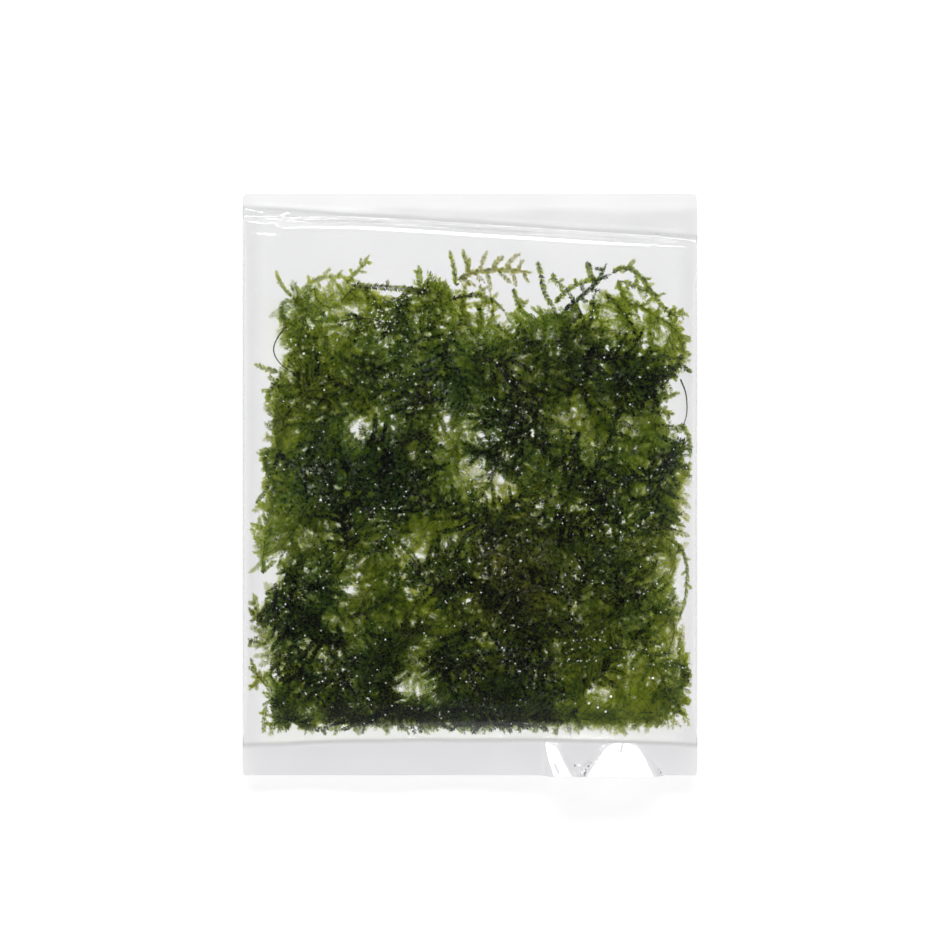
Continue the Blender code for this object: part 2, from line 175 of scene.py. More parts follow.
# Places where only deep shoots grow: centre and half-sizes in millimetres, share of the depth left out
DEEP = (
    (38.0, -48.0, 13.0, 8.0, 0.65), (22.0, -52.0, 12.0, 4.0, 0.5), (-46.0, -42.0, 5.0, 13.0, 0.5),
    (-40.0, -13.0, 8.0, 9.0, 0.45), (-33.0, 42.5, 8.0, 5.0, 0.7), (46.0, -14.0, 5.0, 14.0, 0.5),
    (2.0, 37.0, 9.0, 6.0, 0.55), (-12.5, -42.0, 4.5, 9.0, 0.6), (-24.5, -19.0, 5.0, 5.0, 0.5),
    (0.0, 4.0, 9.0, 8.0, 0.45), (38.0, 36.0, 8.0, 8.0, 0.4), (-12.0, -16.0, 7.0, 4.0, 0.5),
    (20.0, 18.0, 6.0, 5.0, 0.4), (-24.0, 13.0, 6.0, 4.0, 0.4), (32.0, 6.0, 7.0, 6.0, 0.35),
    (-41.0, 25.0, 5.0, 5.0, 0.5), (33.0, -28.0, 8.0, 5.0, 0.4))

# Places where the foremost leaves get a painted silvery sheen, as of trapped air: centre and
# half-sizes in millimetres
SHEEN_PLACES = (
    (11.0, -17.0, 7.0, 7.0), (7.0, -43.0, 9.0, 7.0), (37.0, -47.0, 7.0, 5.0), (-31.0, 5.0, 11.0, 6.0),
    (-20.0, -43.0, 6.0, 7.0), (30.0, 23.0, 8.0, 6.0), (-8.0, 24.0, 8.0, 5.0))

STEM_KNOTS = 12
BRANCH_KNOTS = 4
BRANCHES = 14
# Side branches by reach in millimetres, and the leaves that each grows
BRANCH_CLASSES = ((1.2, 3.2, 13), (3.2, 4.8, 21), (4.8, 6.4, 29), (6.4, 12.0, 38))
# Seeds of the random draws: the first tuft's, the first single shoot's and the bubbles'
TUFT_SEED = 11
SHOOT_SEED = 101
BUBBLE_SEED = 7
# Cells of the plan in which the plants are laid out, and how far each plant spreads, in millimetres
CELL = 1.5
SPREAD = 3.0
# How far inside the film the water ends, the centre lines of the moss run and its leaves are held,
# and how far from the creases
WATER_INSET = 0.05 * MM
MOSS_INSET = 0.6 * MM
LEAF_INSET = 0.15 * MM
CREASE_MARGIN = 1.2 * MM

# Single shoots that stand for one node each: route in millimetres, level, side branches, their reach
# in millimetres, tone and hue
SHOOTS = {
    "comb_shoot": (
        ((-2.6, 44.6), (0.4, 46.2), (3.3, 46.7), (8.8, 46.8), (13.2, 46.2)), 0.86, 11, 4.4, 0.75, 0.7),
    "hanging_shoot_right": (
        ((14.9, 48.8), (15.6, 45.0), (16.4, 41.7), (18.2, 38.3), (19.4, 35.5)), 0.72, 0, 0.0, 0.45, 0.0),
    "hanging_shoot_left": (
        ((9.6, 43.0), (10.4, 39.6), (12.6, 36.6), (15.6, 35.0)), 0.45, 2, 1.6, 0.55, 0.0),
    "tip_shoot": (((-27.0, 43.8), (-24.1, 47.0), (-22.1, 49.9)), 0.86, 5, 2.2, 0.85, 0.0),
    "top_left_shoot": (((-39.0, 40.9), (-41.4, 44.0), (-42.3, 46.6)), 0.84, 0, 0.0, 0.8, 0.0),
    "dark_shoot": (
        ((20.5, 38.0), (25.2, 41.8), (27.9, 44.4), (29.6, 48.0)), 0.90, 8, 2.2, 0.0, -0.6),
    "arched_shoot": (
        ((31.0, 46.2), (33.3, 47.6), (36.4, 46.4), (38.8, 43.3), (41.4, 39.8), (44.7, 36.6),
         (46.4, 38.4)), 0.82, 9, 2.4, 0.5, 0.0),
    "right_edge_shoot": (
        ((44.2, -12.4), (46.3, -14.2), (47.4, -18.5), (47.3, -22.9), (46.7, -26.2), (45.6, -29.8)),
        0.74, 6, 1.6, 0.7, 0.0),
    "left_upper_shoot": (((-42.0, 24.4), (-45.0, 25.4), (-46.9, 26.2)), 0.60, 0, 0.0, 0.75, 0.2),
    "left_edge_shoot": (((-46.4, -30.0), (-46.7, -26.4), (-47.4, -24.0)), 0.86, 2, 1.6, 0.85, 0.0),
    "left_low_shoot": (((-45.0, -43.6), (-47.0, -40.8), (-47.8, -38.2)), 0.84, 2, 1.8, 0.6, 0.2),
    "bottom_left_shoot": (((-44.6, -48.4), (-45.0, -51.6), (-45.2, -54.2)), 0.50, 2, 1.6, 0.7, 0.1),
}

# Bare stems that stand for one node each: route in millimetres, level
STEMS = {
    "loop_stem": (
        ((-40.0, 34.6), (-41.6, 32.7), (-42.8, 30.2), (-42.6, 28.2), (-41.3, 26.3), (-39.6, 25.0)),
        0.84),
    "right_arc_stem": (((46.0, 23.0), (47.2, 19.8), (47.4, 15.7), (46.6, 12.8)), 0.84),
    "brown_stem": (((-28.0, 35.6), (-23.5, 36.3), (-19.7, 35.6), (-16.4, 33.9)), 0.88),
}

# Fronds seen one by one at the edges of the mat, for each tuft: route in millimetres, level, side
# branches, their reach in millimetres, tone and hue
FRONDS = {
    "moss_top_right": (
        (((18.1, 46.3), (18.7, 44.1), (20.6, 43.1)), 0.8, 2, 1.8, 0.6, 0.0),
        (((18.4, 39.6), (22.2, 43.1), (25.4, 44.4), (27.9, 45.1)), 0.7, 6, 1.6, 0.6, 0.0),
        (((25.7, 48.9), (26.4, 45.7), (27.5, 43.5)), 0.6, 0, 0.0, 0.3, 0.0),
        (((26.4, 40.5), (27.9, 36.8), (30.2, 33.0)), 0.5, 5, 2.2, 0.6, 0.0),
        (((29.5, 41.6), (32.4, 39.0), (34.9, 35.2), (37.5, 31.0)), 0.8, 7, 1.8, 0.25, 0.0),
        (((32.4, 44.8), (33.7, 40.9), (36.5, 38.0)), 0.6, 5, 2.4, 0.6, 0.0),
        (((33.3, 44.6), (37.5, 42.8), (41.0, 41.5)), 0.4, 5, 2.4, 0.7, 0.0),
        (((41.4, 38.6), (40.3, 34.6), (39.4, 30.0)), 0.5, 7, 2.2, 0.7, 0.0),
        (((44.1, 37.2), (44.5, 32.0), (43.8, 27.0)), 0.4, 8, 2.6, 0.8, 0.0),
        (((43.0, 36.7), (45.7, 37.8), (47.6, 37.0)), 0.7, 4, 1.8, 0.9, 0.0),
        (((44.5, 34.9), (46.3, 32.0), (46.9, 27.0)), 0.6, 7, 2.0, 0.85, 0.0),
        (((40.2, 19.4), (43.0, 19.2), (45.7, 20.0)), 0.6, 3, 1.6, 0.4, 0.2),
        (((40.2, 16.2), (42.5, 15.9), (44.5, 15.5)), 0.5, 3, 1.6, 0.45, 0.2),
        (((40.2, 13.4), (43.5, 12.6), (46.7, 12.7)), 0.6, 3, 1.6, 0.4, 0.2),
        (((10.2, 35.0), (10.4, 38.0), (12.6, 40.2)), 0.5, 4, 1.8, 0.6, 0.0),
    ),
    "moss_right": (
        (((46.3, 13.5), (48.0, 10.0), (48.2, 6.0)), 0.5, 5, 1.4, 0.6, 0.0),
    ),
    "moss_top_left": (
        (((-38.6, 39.7), (-36.6, 42.7), (-33.7, 45.0), (-29.8, 45.6), (-26.0, 45.3)),
         0.15, 9, 2.2, 0.9, 0.0),
        (((-26.0, 43.6), (-18.3, 42.9), (-11.8, 42.5), (-5.4, 41.4)), 0.9, 4, 2.0, 0.2, 0.2),
    ),
    "moss_top_middle": (
        (((-10.6, 41.0), (-10.9, 44.0), (-11.2, 47.5)), 0.7, 4, 1.6, 0.7, 0.0),
        (((-3.0, 43.3), (-3.5, 47.3), (-4.4, 51.0)), 0.7, 2, 1.2, 0.7, 0.0),
        (((-0.2, 46.0), (-0.7, 48.6), (-1.5, 51.3)), 0.7, 0, 0.0, 0.7, 0.0),
        (((2.0, 33.0), (2.6, 36.2), (1.4, 39.4)), 0.5, 4, 1.8, 0.5, 0.0),
        (((-6.0, 38.0), (-7.0, 41.5), (-6.6, 45.0)), 0.5, 5, 2.0, 0.6, 0.0),
        (((-2.2, 38.5), (-1.0, 41.5), (-1.6, 44.0)), 0.35, 5, 2.2, 0.8, 0.1),
        (((1.5, 36.5), (2.8, 40.0), (2.2, 43.5)), 0.45, 5, 2.0, 0.7, 0.1),
        (((4.4, 35.5), (5.2, 38.6), (4.4, 41.6)), 0.3, 5, 2.4, 0.8, 0.1),
        (((-4.0, 40.6), (0.5, 41.4), (4.6, 40.4), (7.4, 38.0)), 0.6, 4, 1.6, 0.4, 0.1),
    ),
    "moss_left": (
        (((-41.6, 23.0), (-43.4, 21.0), (-44.6, 18.0)), 0.7, 4, 1.6, 0.6, 0.0),
    ),
    "moss_bottom_left": (
        (((-44.6, -31.4), (-46.8, -29.2), (-48.4, -27.2)), 0.6, 6, 2.0, 0.35, 0.5),
        (((-44.4, -35.0), (-46.9, -34.3), (-48.6, -33.9)), 0.7, 4, 1.6, 0.4, 0.2),
        (((-43.6, -41.4), (-46.6, -43.1), (-48.5, -45.0)), 0.2, 5, 2.0, 0.85, 0.1),
        (((-41.8, -47.6), (-41.6, -51.0), (-39.9, -53.6)), 0.4, 4, 1.8, 0.7, 0.0),
        (((-39.2, -50.6), (-36.0, -53.0), (-32.5, -53.6), (-29.8, -52.7)),
         0.7, 3, 1.4, 0.15, 0.0),
    ),
}


def rounded(across, power):
    """Height of a round-cornered profile: (1 - |across| to the power) to one over the power."""
    return np.maximum(0.0, 1.0 - np.abs(across) ** power) ** (1.0 / power)


def smooth(value):
    """0 up to 0 and 1 from 1 on, with a smooth step between: 3 v squared less 2 v cubed."""
    value = np.clip(value, 0.0, 1.0)
    return value * value * (3.0 - 2.0 * value)


def crease_lines(x, inset):
    """Y of the bottom and top crease: the bottom one bows back as x squared, the top one slants."""
    bottom = BOTTOM_CREASE_Y - CREASE_BOW * (x / HALF_WIDTH) ** 2
    top = TOP_CREASE_Y - TOP_SLANT * x
    return bottom + inset, top - inset


def film_heights(x, y, inset):
    """Heights of the back and front inner faces over (x, y), this far in from the film.

    The swell is the product of a rounded profile across and one along. The front face rises with
    it, and the back face drops as the sine of it until it lies flat. Beside the creases only a
    share of both is left.
    """
    bottom, top = crease_lines(x, inset)
    along = 2.0 * (y - bottom) / (top - bottom) - 1.0
    swell = rounded(x / (HALF_WIDTH - inset), SIDE_POWER) * rounded(along, END_POWER)
    drop = (SEAM_Z - FILM - inset) * np.sin(0.5 * np.pi * np.minimum(1.0, BELLY * swell))
    share = crease_share(x, y)
    return SEAM_Z - drop * share, SEAM_Z + (RISE - inset) * swell * share


# Meshes


def add_piece(name, points, faces, materials, replaced=(), fields=None, face_slots=None,
              smooth_shaded=False):
    """Put a mesh of points and faces into the scene as a piece that rides with the pouch.

    Fields hold a value for each point, and face_slots says which of the materials each face has.
    """
    mesh = bpy.data.meshes.new(name)
    faces = np.asarray(faces, dtype=np.int32)
    corners = faces.shape[1]
    mesh.vertices.add(len(points))
    mesh.vertices.foreach_set("co", np.asarray(points, dtype=np.float32).ravel())
    mesh.loops.add(faces.size)
    mesh.loops.foreach_set("vertex_index", faces.ravel())
    mesh.polygons.add(len(faces))
    mesh.polygons.foreach_set("loop_start", np.arange(len(faces), dtype=np.int32) * corners)
    for field, values in (fields or {}).items():
        attribute = mesh.attributes.new(field, "FLOAT", "POINT")
        attribute.data.foreach_set("value", np.asarray(values, dtype=np.float32))
    for material in materials:
        mesh.materials.append(material)
    if face_slots is not None:
        mesh.polygons.foreach_set("material_index", np.asarray(face_slots, dtype=np.int32))
    mesh.update(calc_edges=True)
    if smooth_shaded:
        mesh.shade_smooth()
    piece = bpy.data.objects.new(name, mesh)
    bpy.context.scene.collection.objects.link(piece)
    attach(piece, "root")
    if replaced:
        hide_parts(*replaced)
    return piece


def tube_faces(rings, sides):
    """Quads of a grid of rings, each wrapped round."""
    ring = np.arange(rings - 1)[:, None]
    side = np.arange(sides)[None, :]
    step = (side + 1) % sides
    return np.stack([
        ring * sides + side, ring * sides + step,
        (ring + 1) * sides + step, (ring + 1) * sides + side], axis=-1).reshape(-1, 4)


def closed_faces(rings, sides):
    """Quads of a grid of rings, and caps that close its ends from the front half to the back half."""
    index = np.arange(sides // 2)
    cap = np.stack([index, index + 1, sides - index - 1, (sides - index) % sides], axis=-1)
    return np.concatenate([tube_faces(rings, sides), cap, cap[:, ::-1] + (rings - 1) * sides])


def split_quads(quads):
    """Two triangles for each quad."""
    return np.concatenate([quads[:, [0, 1, 2]], quads[:, [0, 2, 3]]])


def circle(sides):
    """Cosines and sines of evenly spaced turns."""
    turn = 2.0 * np.pi * np.arange(sides) / sides
    return np.cos(turn), np.sin(turn)


def unit(vectors):
    """The vectors at length one."""
    return vectors / (np.linalg.norm(vectors, axis=-1, keepdims=True) + 1e-12)


def between(values, spot):
    """Values given at whole steps along their second axis, carried over to the places between."""
    low = spot.astype(int)
    part = (spot - low).reshape(1, -1, *([1] * (values.ndim - 2)))
    return values[:, low] * (1.0 - part) + values[:, low + 1] * part


# Materials


def new_material(name):
    """A node material: itself, its tree, its shader and its output."""
    material = bpy.data.materials.new(name)
    material.use_nodes = True
    tree = material.node_tree
    return material, tree, tree.nodes["Principled BSDF"], tree.nodes["Material Output"]


def set_values(node, **values):
    """Set a node's sockets, named with _ for each space."""
    for name, value in values.items():
        node.inputs[name.replace("_", " ")].default_value = value


def object_noise(tree, scale, detail=2.0):
    """Noise on Object coordinates, and the coordinates."""
    place = tree.nodes.new("ShaderNodeTexCoord").outputs["Object"]
    noise = tree.nodes.new("ShaderNodeTexNoise")
    set_values(noise, Scale=scale, Detail=detail)
    tree.links.new(place, noise.inputs["Vector"])
    return noise.outputs["Fac"], place


def separate(tree, vector):
    """The parts of a vector."""
    parts = tree.nodes.new("ShaderNodeSeparateXYZ")
    tree.links.new(vector, parts.inputs["Vector"])
    return parts.outputs


def read_field(tree, name):
    """A field of the mesh."""
    node = tree.nodes.new("ShaderNodeAttribute")
    node.attribute_name = name
    return node.outputs["Fac"]


def plain_colour(tree, colour):
    """A colour as a socket."""
    node = tree.nodes.new("ShaderNodeRGB")
    node.outputs[0].default_value = (*colour, 1.0)
    return node.outputs[0]


def colour_ramp(tree, factor, *stops):
    """A colour ramp driven by factor, whose stops are a place and a colour or a grey."""
    ramp = tree.nodes.new("ShaderNodeValToRGB")
    elements = ramp.color_ramp.elements
    for number, (position, colour) in enumerate(stops):
        if number == 0:
            element = elements[0]
        elif number == len(stops) - 1:
            element = elements[-1]
        else:
            element = elements.new(position)
        element.position = position
        element.color = (*(colour if isinstance(colour, tuple) else (colour,) * 3), 1.0)
    tree.links.new(factor, ramp.inputs["Fac"])
    return ramp.outputs["Color"]


def mix_colours(tree, factor, first, second):
    """Mix two colours by factor."""
    mix = tree.nodes.new("ShaderNodeMix")
    mix.data_type = "RGBA"
    tree.links.new(factor, mix.inputs["Factor"])
    tree.links.new(first, mix.inputs[6])
    tree.links.new(second, mix.inputs[7])
    return mix.outputs[2]


def add_math(tree, operation, *values):
    """A math node, whose inputs are sockets or plain values."""
    node = tree.nodes.new("ShaderNodeMath")
    node.operation = operation
    for socket, value in zip(node.inputs, values):
        if isinstance(value, float):
            socket.default_value = value
        else:
            tree.links.new(value, socket)
    return node.outputs[0]


def leaf_material():
    """Thin wet leaves: dark green by the light on them, yellow-green by the light through them.

    Each colour is read from a ramp by the leaf's tone plus a fine noise, and goes towards brown or
    blue-green by its hue. Silvery leaves carry a painted sheen: a pale face colour where a coarser noise
    is high, and less light through them.
    """
    material, tree, shader, output = new_material("moss_leaf")
    hue = read_field(tree, "hue")
    coolness = add_math(tree, "MULTIPLY", hue, -1.0)
    fine = add_math(tree, "MULTIPLY_ADD", object_noise(tree, 260.0, 3.0)[0], 0.9, -0.45)
    light = add_math(tree, "ADD", fine, read_field(tree, "tone"))
    # Painted sheen: the share of a silvery leaf that is pale, by a coarser noise and its silver field
    painted_sheen_share = add_math(
        tree, "MULTIPLY", add_math(tree, "MULTIPLY_ADD", object_noise(tree, 75.0, 1.0)[0], 5.0, -2.1),
        read_field(tree, "silver"))
    painted_sheen_share = add_math(tree, "MINIMUM", add_math(tree, "MAXIMUM", painted_sheen_share, 0.0), 1.0)

    def by_hue(green, brown, cool):
        """The colour of three ramps for this light and hue."""
        colour = mix_colours(
            tree, hue, colour_ramp(tree, light, *green), colour_ramp(tree, light, *brown))
        return mix_colours(tree, coolness, colour, colour_ramp(tree, light, *cool))

    face = by_hue(
        ((0.0, (0.022, 0.034, 0.020)), (0.5, (0.09, 0.16, 0.045)), (1.0, (0.32, 0.46, 0.09))),
        ((0.0, (0.040, 0.034, 0.019)), (0.5, (0.16, 0.15, 0.05)), (1.0, (0.46, 0.42, 0.14))),
        ((0.0, (0.022, 0.040, 0.031)), (0.5, (0.07, 0.16, 0.085)), (1.0, (0.26, 0.44, 0.20))))
    face = mix_colours(tree, painted_sheen_share, face, plain_colour(tree, (0.66, 0.72, 0.62)))
    through = by_hue(
        ((0.0, (0.048, 0.070, 0.019)), (0.5, (0.56, 0.70, 0.075)), (1.0, (0.96, 1.0, 0.16))),
        ((0.0, (0.070, 0.062, 0.016)), (0.5, (0.62, 0.60, 0.11)), (1.0, (0.98, 0.92, 0.36))),
        ((0.0, (0.032, 0.064, 0.030)), (0.5, (0.38, 0.60, 0.18)), (1.0, (0.80, 0.95, 0.42))))
    tree.links.new(face, shader.inputs["Base Color"])
    set_values(shader, Roughness=0.40, IOR=1.45)
    shade = tree.nodes.new("ShaderNodeBsdfTranslucent")
    tree.links.new(through, shade.inputs["Color"])
    blend = tree.nodes.new("ShaderNodeMixShader")
    tree.links.new(add_math(tree, "MULTIPLY_ADD", painted_sheen_share, -0.45, 0.78), blend.inputs["Fac"])
    tree.links.new(shader.outputs["BSDF"], blend.inputs[1])
    tree.links.new(shade.outputs["BSDF"], blend.inputs[2])
    tree.links.new(blend.outputs["Shader"], output.inputs["Surface"])
    return material


def stem_material():
    """Stems: brown-green with paler stretches."""
    material, tree, shader, _ = new_material("moss_stem")
    tree.links.new(colour_ramp(
        tree, object_noise(tree, 300.0)[0], (0.35, (0.030, 0.034, 0.012)), (0.65, (0.16, 0.15, 0.04))),
        shader.inputs["Base Color"])
    set_values(shader, Roughness=0.5)
    return material


def film_material(name, roughness, gleam, ior):
    """Clear plastic film, greyer in the seals and most in the bottom one. Shade is painted into its
    colour:
    at its folded sides, on a band under the top crease and as a dark line along each crease.

    The gleam is its reflection face on. The wet inner side has next to none and bends light less,
    because the step from film to water is a small one.
    """
    material, tree, shader, _ = new_material(name)
    clouds, place = object_noise(tree, 60.0)
    parts = separate(tree, place)
    across = parts["X"]
    along = add_math(tree, "MULTIPLY", parts["Y"], TO_MM)
    squared = add_math(tree, "MULTIPLY", across, across)
    bottom_line = add_math(
        tree, "MULTIPLY_ADD", squared, TO_MM * CREASE_BOW / HALF_WIDTH ** 2, -TO_MM * BOTTOM_CREASE_Y)
    top_line = add_math(tree, "MULTIPLY_ADD", across, TO_MM * TOP_SLANT, -TO_MM * TOP_CREASE_Y)
    above_bottom = add_math(tree, "ADD", along, bottom_line)
    above_top = add_math(tree, "ADD", along, top_line)
    # Painted shade on the shelf: a band from just above the top crease to 3 mm under it
    shelf = colour_ramp(
        tree, add_math(tree, "MULTIPLY_ADD", above_top, 0.25, 0.9),
        (0.15, 0.0), (0.35, 0.6), (0.85, 0.6), (1.0, 0.0))
    # Painted shade at the folded sides: from nothing at 44.8 mm off the middle to full at 49.1 mm
    sides = add_math(tree, "MULTIPLY_ADD", add_math(tree, "ABSOLUTE", across), 230.0, -10.3)
    colour = colour_ramp(tree, clouds, (0.3, (0.985, 0.985, 0.99)), (0.7, 1.0))
    for share, low, high in (
            (add_math(tree, "MULTIPLY", above_bottom, -1.0), (0.92, 0.915, 0.925), (0.935, 0.93, 0.94)),
            (add_math(tree, "MULTIPLY", above_top, 0.6), (0.945, 0.945, 0.95), (0.965, 0.965, 0.965)),
            (shelf, (0.90, 0.90, 0.905), (0.94, 0.94, 0.94)),
            (sides, (0.935, 0.935, 0.94), (0.95, 0.95, 0.95))):
        colour = mix_colours(tree, share, colour, colour_ramp(tree, clouds, (0.3, low), (0.7, high)))
    # Painted shade of the folds: a dark line along each crease, which wavers by up to 0.4 mm with the
    # clouds
    uneven = add_math(tree, "MULTIPLY_ADD", clouds, 0.8, -0.4)
    for above, dark in ((above_bottom, 0.85), (above_top, 0.88)):
        away = add_math(tree, "ABSOLUTE", add_math(tree, "ADD", above, uneven))
        line = colour_ramp(tree, away, (0.0, 1.0), (0.25, 0.85), (0.6, 0.25), (1.0, 0.0))
        colour = mix_colours(tree, line, colour, plain_colour(tree, (dark, dark, dark + 0.005)))
    tree.links.new(colour, shader.inputs["Base Color"])
    set_values(shader, Specular_Tint=(gleam, gleam, gleam, 1.0), Roughness=roughness, IOR=ior,
               Transmission_Weight=1.0)
    return material


def water_material():
    """Clear water with the faintest clouds in it, a touch yellow where the moss stands in it."""
    material, tree, shader, _ = new_material("water")
    clouds, place = object_noise(tree, 40.0)
    clear = colour_ramp(tree, clouds, (0.3, (0.985, 0.99, 0.985)), (0.7, 1.0))
    yellow = colour_ramp(tree, clouds, (0.3, (0.97, 0.98, 0.935)), (0.7, (0.985, 0.995, 0.955)))
    parts = separate(tree, place)
    # Full up to 42.4 mm off the middle and 38.4 mm along, and nothing from 4 mm further on
    side = add_math(tree, "MULTIPLY_ADD", add_math(tree, "ABSOLUTE", parts["X"]), -250.0, 11.6)
    end = add_math(tree, "MULTIPLY_ADD", parts["Y"], -250.0, 10.6)
    near = add_math(tree, "MAXIMUM", add_math(tree, "MINIMUM", side, end), 0.0)
    tree.links.new(mix_colours(tree, near, clear, yellow), shader.inputs["Base Color"])
    set_values(shader, Roughness=0.0, IOR=1.33, Transmission_Weight=1.0)
    return material


def bubble_material():
    """Air under water: a white ball with a painted glow, in place of the silvery reflection of air."""
    material, tree, shader, _ = new_material("bubble")
    colour = colour_ramp(tree, object_noise(tree, 900.0)[0], (0.3, (0.88, 0.92, 0.90)), (0.6, 1.0))
    tree.links.new(colour, shader.inputs["Base Color"])
    # Painted glow: the bubbles give off light in their own colour, at a strength of 0.45
    tree.links.new(colour, shader.inputs["Emission Color"])
    set_values(shader, Emission_Strength=0.45, Roughness=0.15)
    return material


# The film


def section_across():
    """Places across a section, and 1 for the front film, -1 for the back one and 0 for the folds.

    A place is the cosine of an even turn to the power of 2 over the side's power, with its sign kept.
    """
    angle = 2.0 * np.pi * np.arange(SIDES) / SIDES
    across = np.sign(np.cos(angle)) * np.abs(np.cos(angle)) ** (2.0 / SIDE_POWER)
    side = np.sign(np.round(np.sin(angle), 9))
    return across, side


def crease_share(x, y):
    """Share of the films' height left beside the creases.

    From the bottom crease it rises as 1 - (1 - distance over the foot) cubed. From the top one it
    rises as 1 - (1 - distance over the swing) to the fourth, times a smooth step that softens the
    fold itself, and at the left it starts beyond a low shelf.
    """
    bottom, top = crease_lines(x, 0.0)
    share = 1.0 - (1.0 - np.clip((y - bottom) / FOOT, 0.0, 1.0)) ** 3
    shelf = np.interp(x / MM, *np.array(SHELF).T) * MM
    far = np.clip((top - y - shelf) / SWING, 0.0, 1.0)
    swung = 0.10 * smooth((top - y) / (0.8 * MM)) + 0.90 * (1.0 - (1.0 - far) ** 4)
    return share * swung * smooth((top - y) / (2.4 * MM))


def flap_lift(x, away, closed):
    """How far the bottom flap is raised at x, this far from its crease.

    Inside a lobe the film's face rises by the same slope all the way to the free end, also where its
    wall thins out. Beside it the film comes down in a smooth step that is wider where the lobe is
    higher.
    """
    lift = np.zeros_like(x)
    for near, far, half, widening in LOBES:
        middle = (near + (far - near) * away / LOBE_LENGTH) * MM
        soft = 0.7 * MM + 0.26 * away
        edge = (half + widening * np.sqrt(away / MM)) * MM + 0.36 * soft
        inside = smooth((edge - np.abs(x - middle)) / soft + 0.5)
        fold = 1.0 - 0.10 * np.exp(-((x - middle) / (0.9 * MM)) ** 2)
        lift = lift + (LOBE_SLOPE * away * fold + 0.3 * MM * closed) * inside
    return lift


def fold_lift(x, y):
    """Height of the small folds of the front film.

    Each is a ridge along a straight line: its height times e to the minus (distance over half-width)
    squared.
    """
    lift = np.zeros_like(x)
    for x0, y0, x1, y1, half, height in FOLDS:
        run_x, run_y = x1 - x0, y1 - y0
        along = ((x / MM - x0) * run_x + (y / MM - y0) * run_y) / (run_x ** 2 + run_y ** 2)
        along = np.clip(along, 0.0, 1.0)
        away = (x / MM - x0 - along * run_x) ** 2 + (y / MM - y0 - along * run_y) ** 2
        lift = lift + height * MM * np.exp(-away / half ** 2)
    return lift


def pillow_points(inset, least):
    """Points of the filled pouch: rings along it, closer together towards the creases.

    The films stay this least distance off the seam.
    """
    across, side = section_across()
    along = 0.5 - 0.5 * np.cos(np.pi * np.arange(STATIONS + 1) / STATIONS)
    along = 0.75 * along + 0.25 * smooth(along)
    x = np.broadcast_to(across * (HALF_WIDTH - inset), (STATIONS + 1, SIDES))
    bottom, top = crease_lines(x, inset)
    y = bottom + along[:, None] * (top - bottom)
    low, high = film_heights(x, y, inset)
    high = high + fold_lift(x, y)
    z = np.where(side > 0, np.maximum(high, SEAM_Z + least), np.minimum(low, SEAM_Z - least))
    z = np.where(side == 0, SEAM_Z, z)
    return np.stack([x, y, z], axis=-1)


# The moss


def edge_distances(x, y):
    """How far (x, y) is inside the left, right, bottom and top edge of the mat, in millimetres."""
    mx, my = x / MM, y / MM
    return (
        mx - np.interp(my, *np.array(LEFT_EDGE).T), np.interp(my, *np.array(RIGHT_EDGE).T) - mx,
        my - BOTTOM_EDGE, np.interp(mx, *np.array(TOP_EDGE).T) - my)


def bell(x, y, centre_x, centre_y, half_x, half_y, power):
    """A rounded bell: e to the minus (distance over half-size) to the power."""
    away = ((x / MM - centre_x) / half_x) ** 2 + ((y / MM - centre_y) / half_y) ** 2
    return np.exp(-(away ** (0.5 * power)))


def inside_edges(x, y):
    """0 outside the edges of the mat, rising to 1 within three millimetres inside them."""
    return np.clip(np.min(edge_distances(x, y), axis=0) / 3.0 + 0.15, 0.0, 1.0)


def gap_cover(x, y):
    """0 in the gaps of the mat and 1 away from them."""
    cover = np.ones_like(x)
    for centre_x, centre_y, half_x, half_y in GAPS:
        cover = cover * (1.0 - bell(x, y, centre_x, centre_y, 0.85 * half_x, 0.85 * half_y, 3.0))
    return cover


def mat_areas(x, y):
    """Thickness share and hue of the mat at (x, y), from its thin and thick areas.

    The share falls to two thirds at the left, right and top edge, by a smooth step.
    """
    left, right, _, top = edge_distances(x, y)
    share = 0.66 + 0.34 * smooth(np.minimum(np.minimum(left, right), top) / EDGE_ZONE)
    hue = np.zeros_like(x)
    for centre_x, centre_y, half_x, half_y, thickness, tint in AREAS:
        weight = bell(x, y, centre_x, centre_y, half_x, half_y, 2.0)
        share = share * (1.0 + (thickness - 1.0) * weight)
        hue = hue + tint * weight
    return share, np.clip(hue, -1.0, 1.0)


def silvery(flat, level):
    """Share of leaves with a painted sheen along each route: more in the sheen places, none far back."""
    share = np.full(flat.shape[:-1], 0.12)
    for centre_x, centre_y, half_x, half_y in SHEEN_PLACES:
        share = share + 0.88 * bell(flat[..., 0], flat[..., 1], centre_x, centre_y, half_x, half_y, 2.0)
    return np.minimum(1.0, share).mean(axis=1) * smooth(3.0 * level.mean(axis=1) - 1.6)


def wander(start, heading, length, rng):
    """Flat routes that wander, and turn back before they leave the mat.

    The heading drifts at random at each knot, and each edge that is near pushes it inwards by the
    square of how near it is.
    """
    step = (length / (STEM_KNOTS - 1))[:, None]
    turn = rng.normal(0.0, 0.10, len(start))
    spot = start.copy()
    direction = np.stack([np.cos(heading), np.sin(heading)], axis=-1)
    route = [spot.copy()]
    for _ in range(STEM_KNOTS - 1):
        turn = 0.7 * turn + rng.normal(0.0, 0.12, len(start))
        cos, sin = np.cos(turn), np.sin(turn)
        direction = np.stack([
            direction[:, 0] * cos - direction[:, 1] * sin,
            direction[:, 0] * sin + direction[:, 1] * cos], axis=-1)
        left, right, bottom, top = (
            np.clip(1.0 - away / EDGE_ZONE, 0.0, 1.5) ** 2
            for away in edge_distances(spot[:, 0], spot[:, 1]))
        direction = direction + 0.45 * np.stack([left - right, bottom - top], axis=-1)
        direction /= np.linalg.norm(direction, axis=1, keepdims=True)
        spot = spot + step * direction
        route.append(spot.copy())
    return np.stack(route, axis=1)


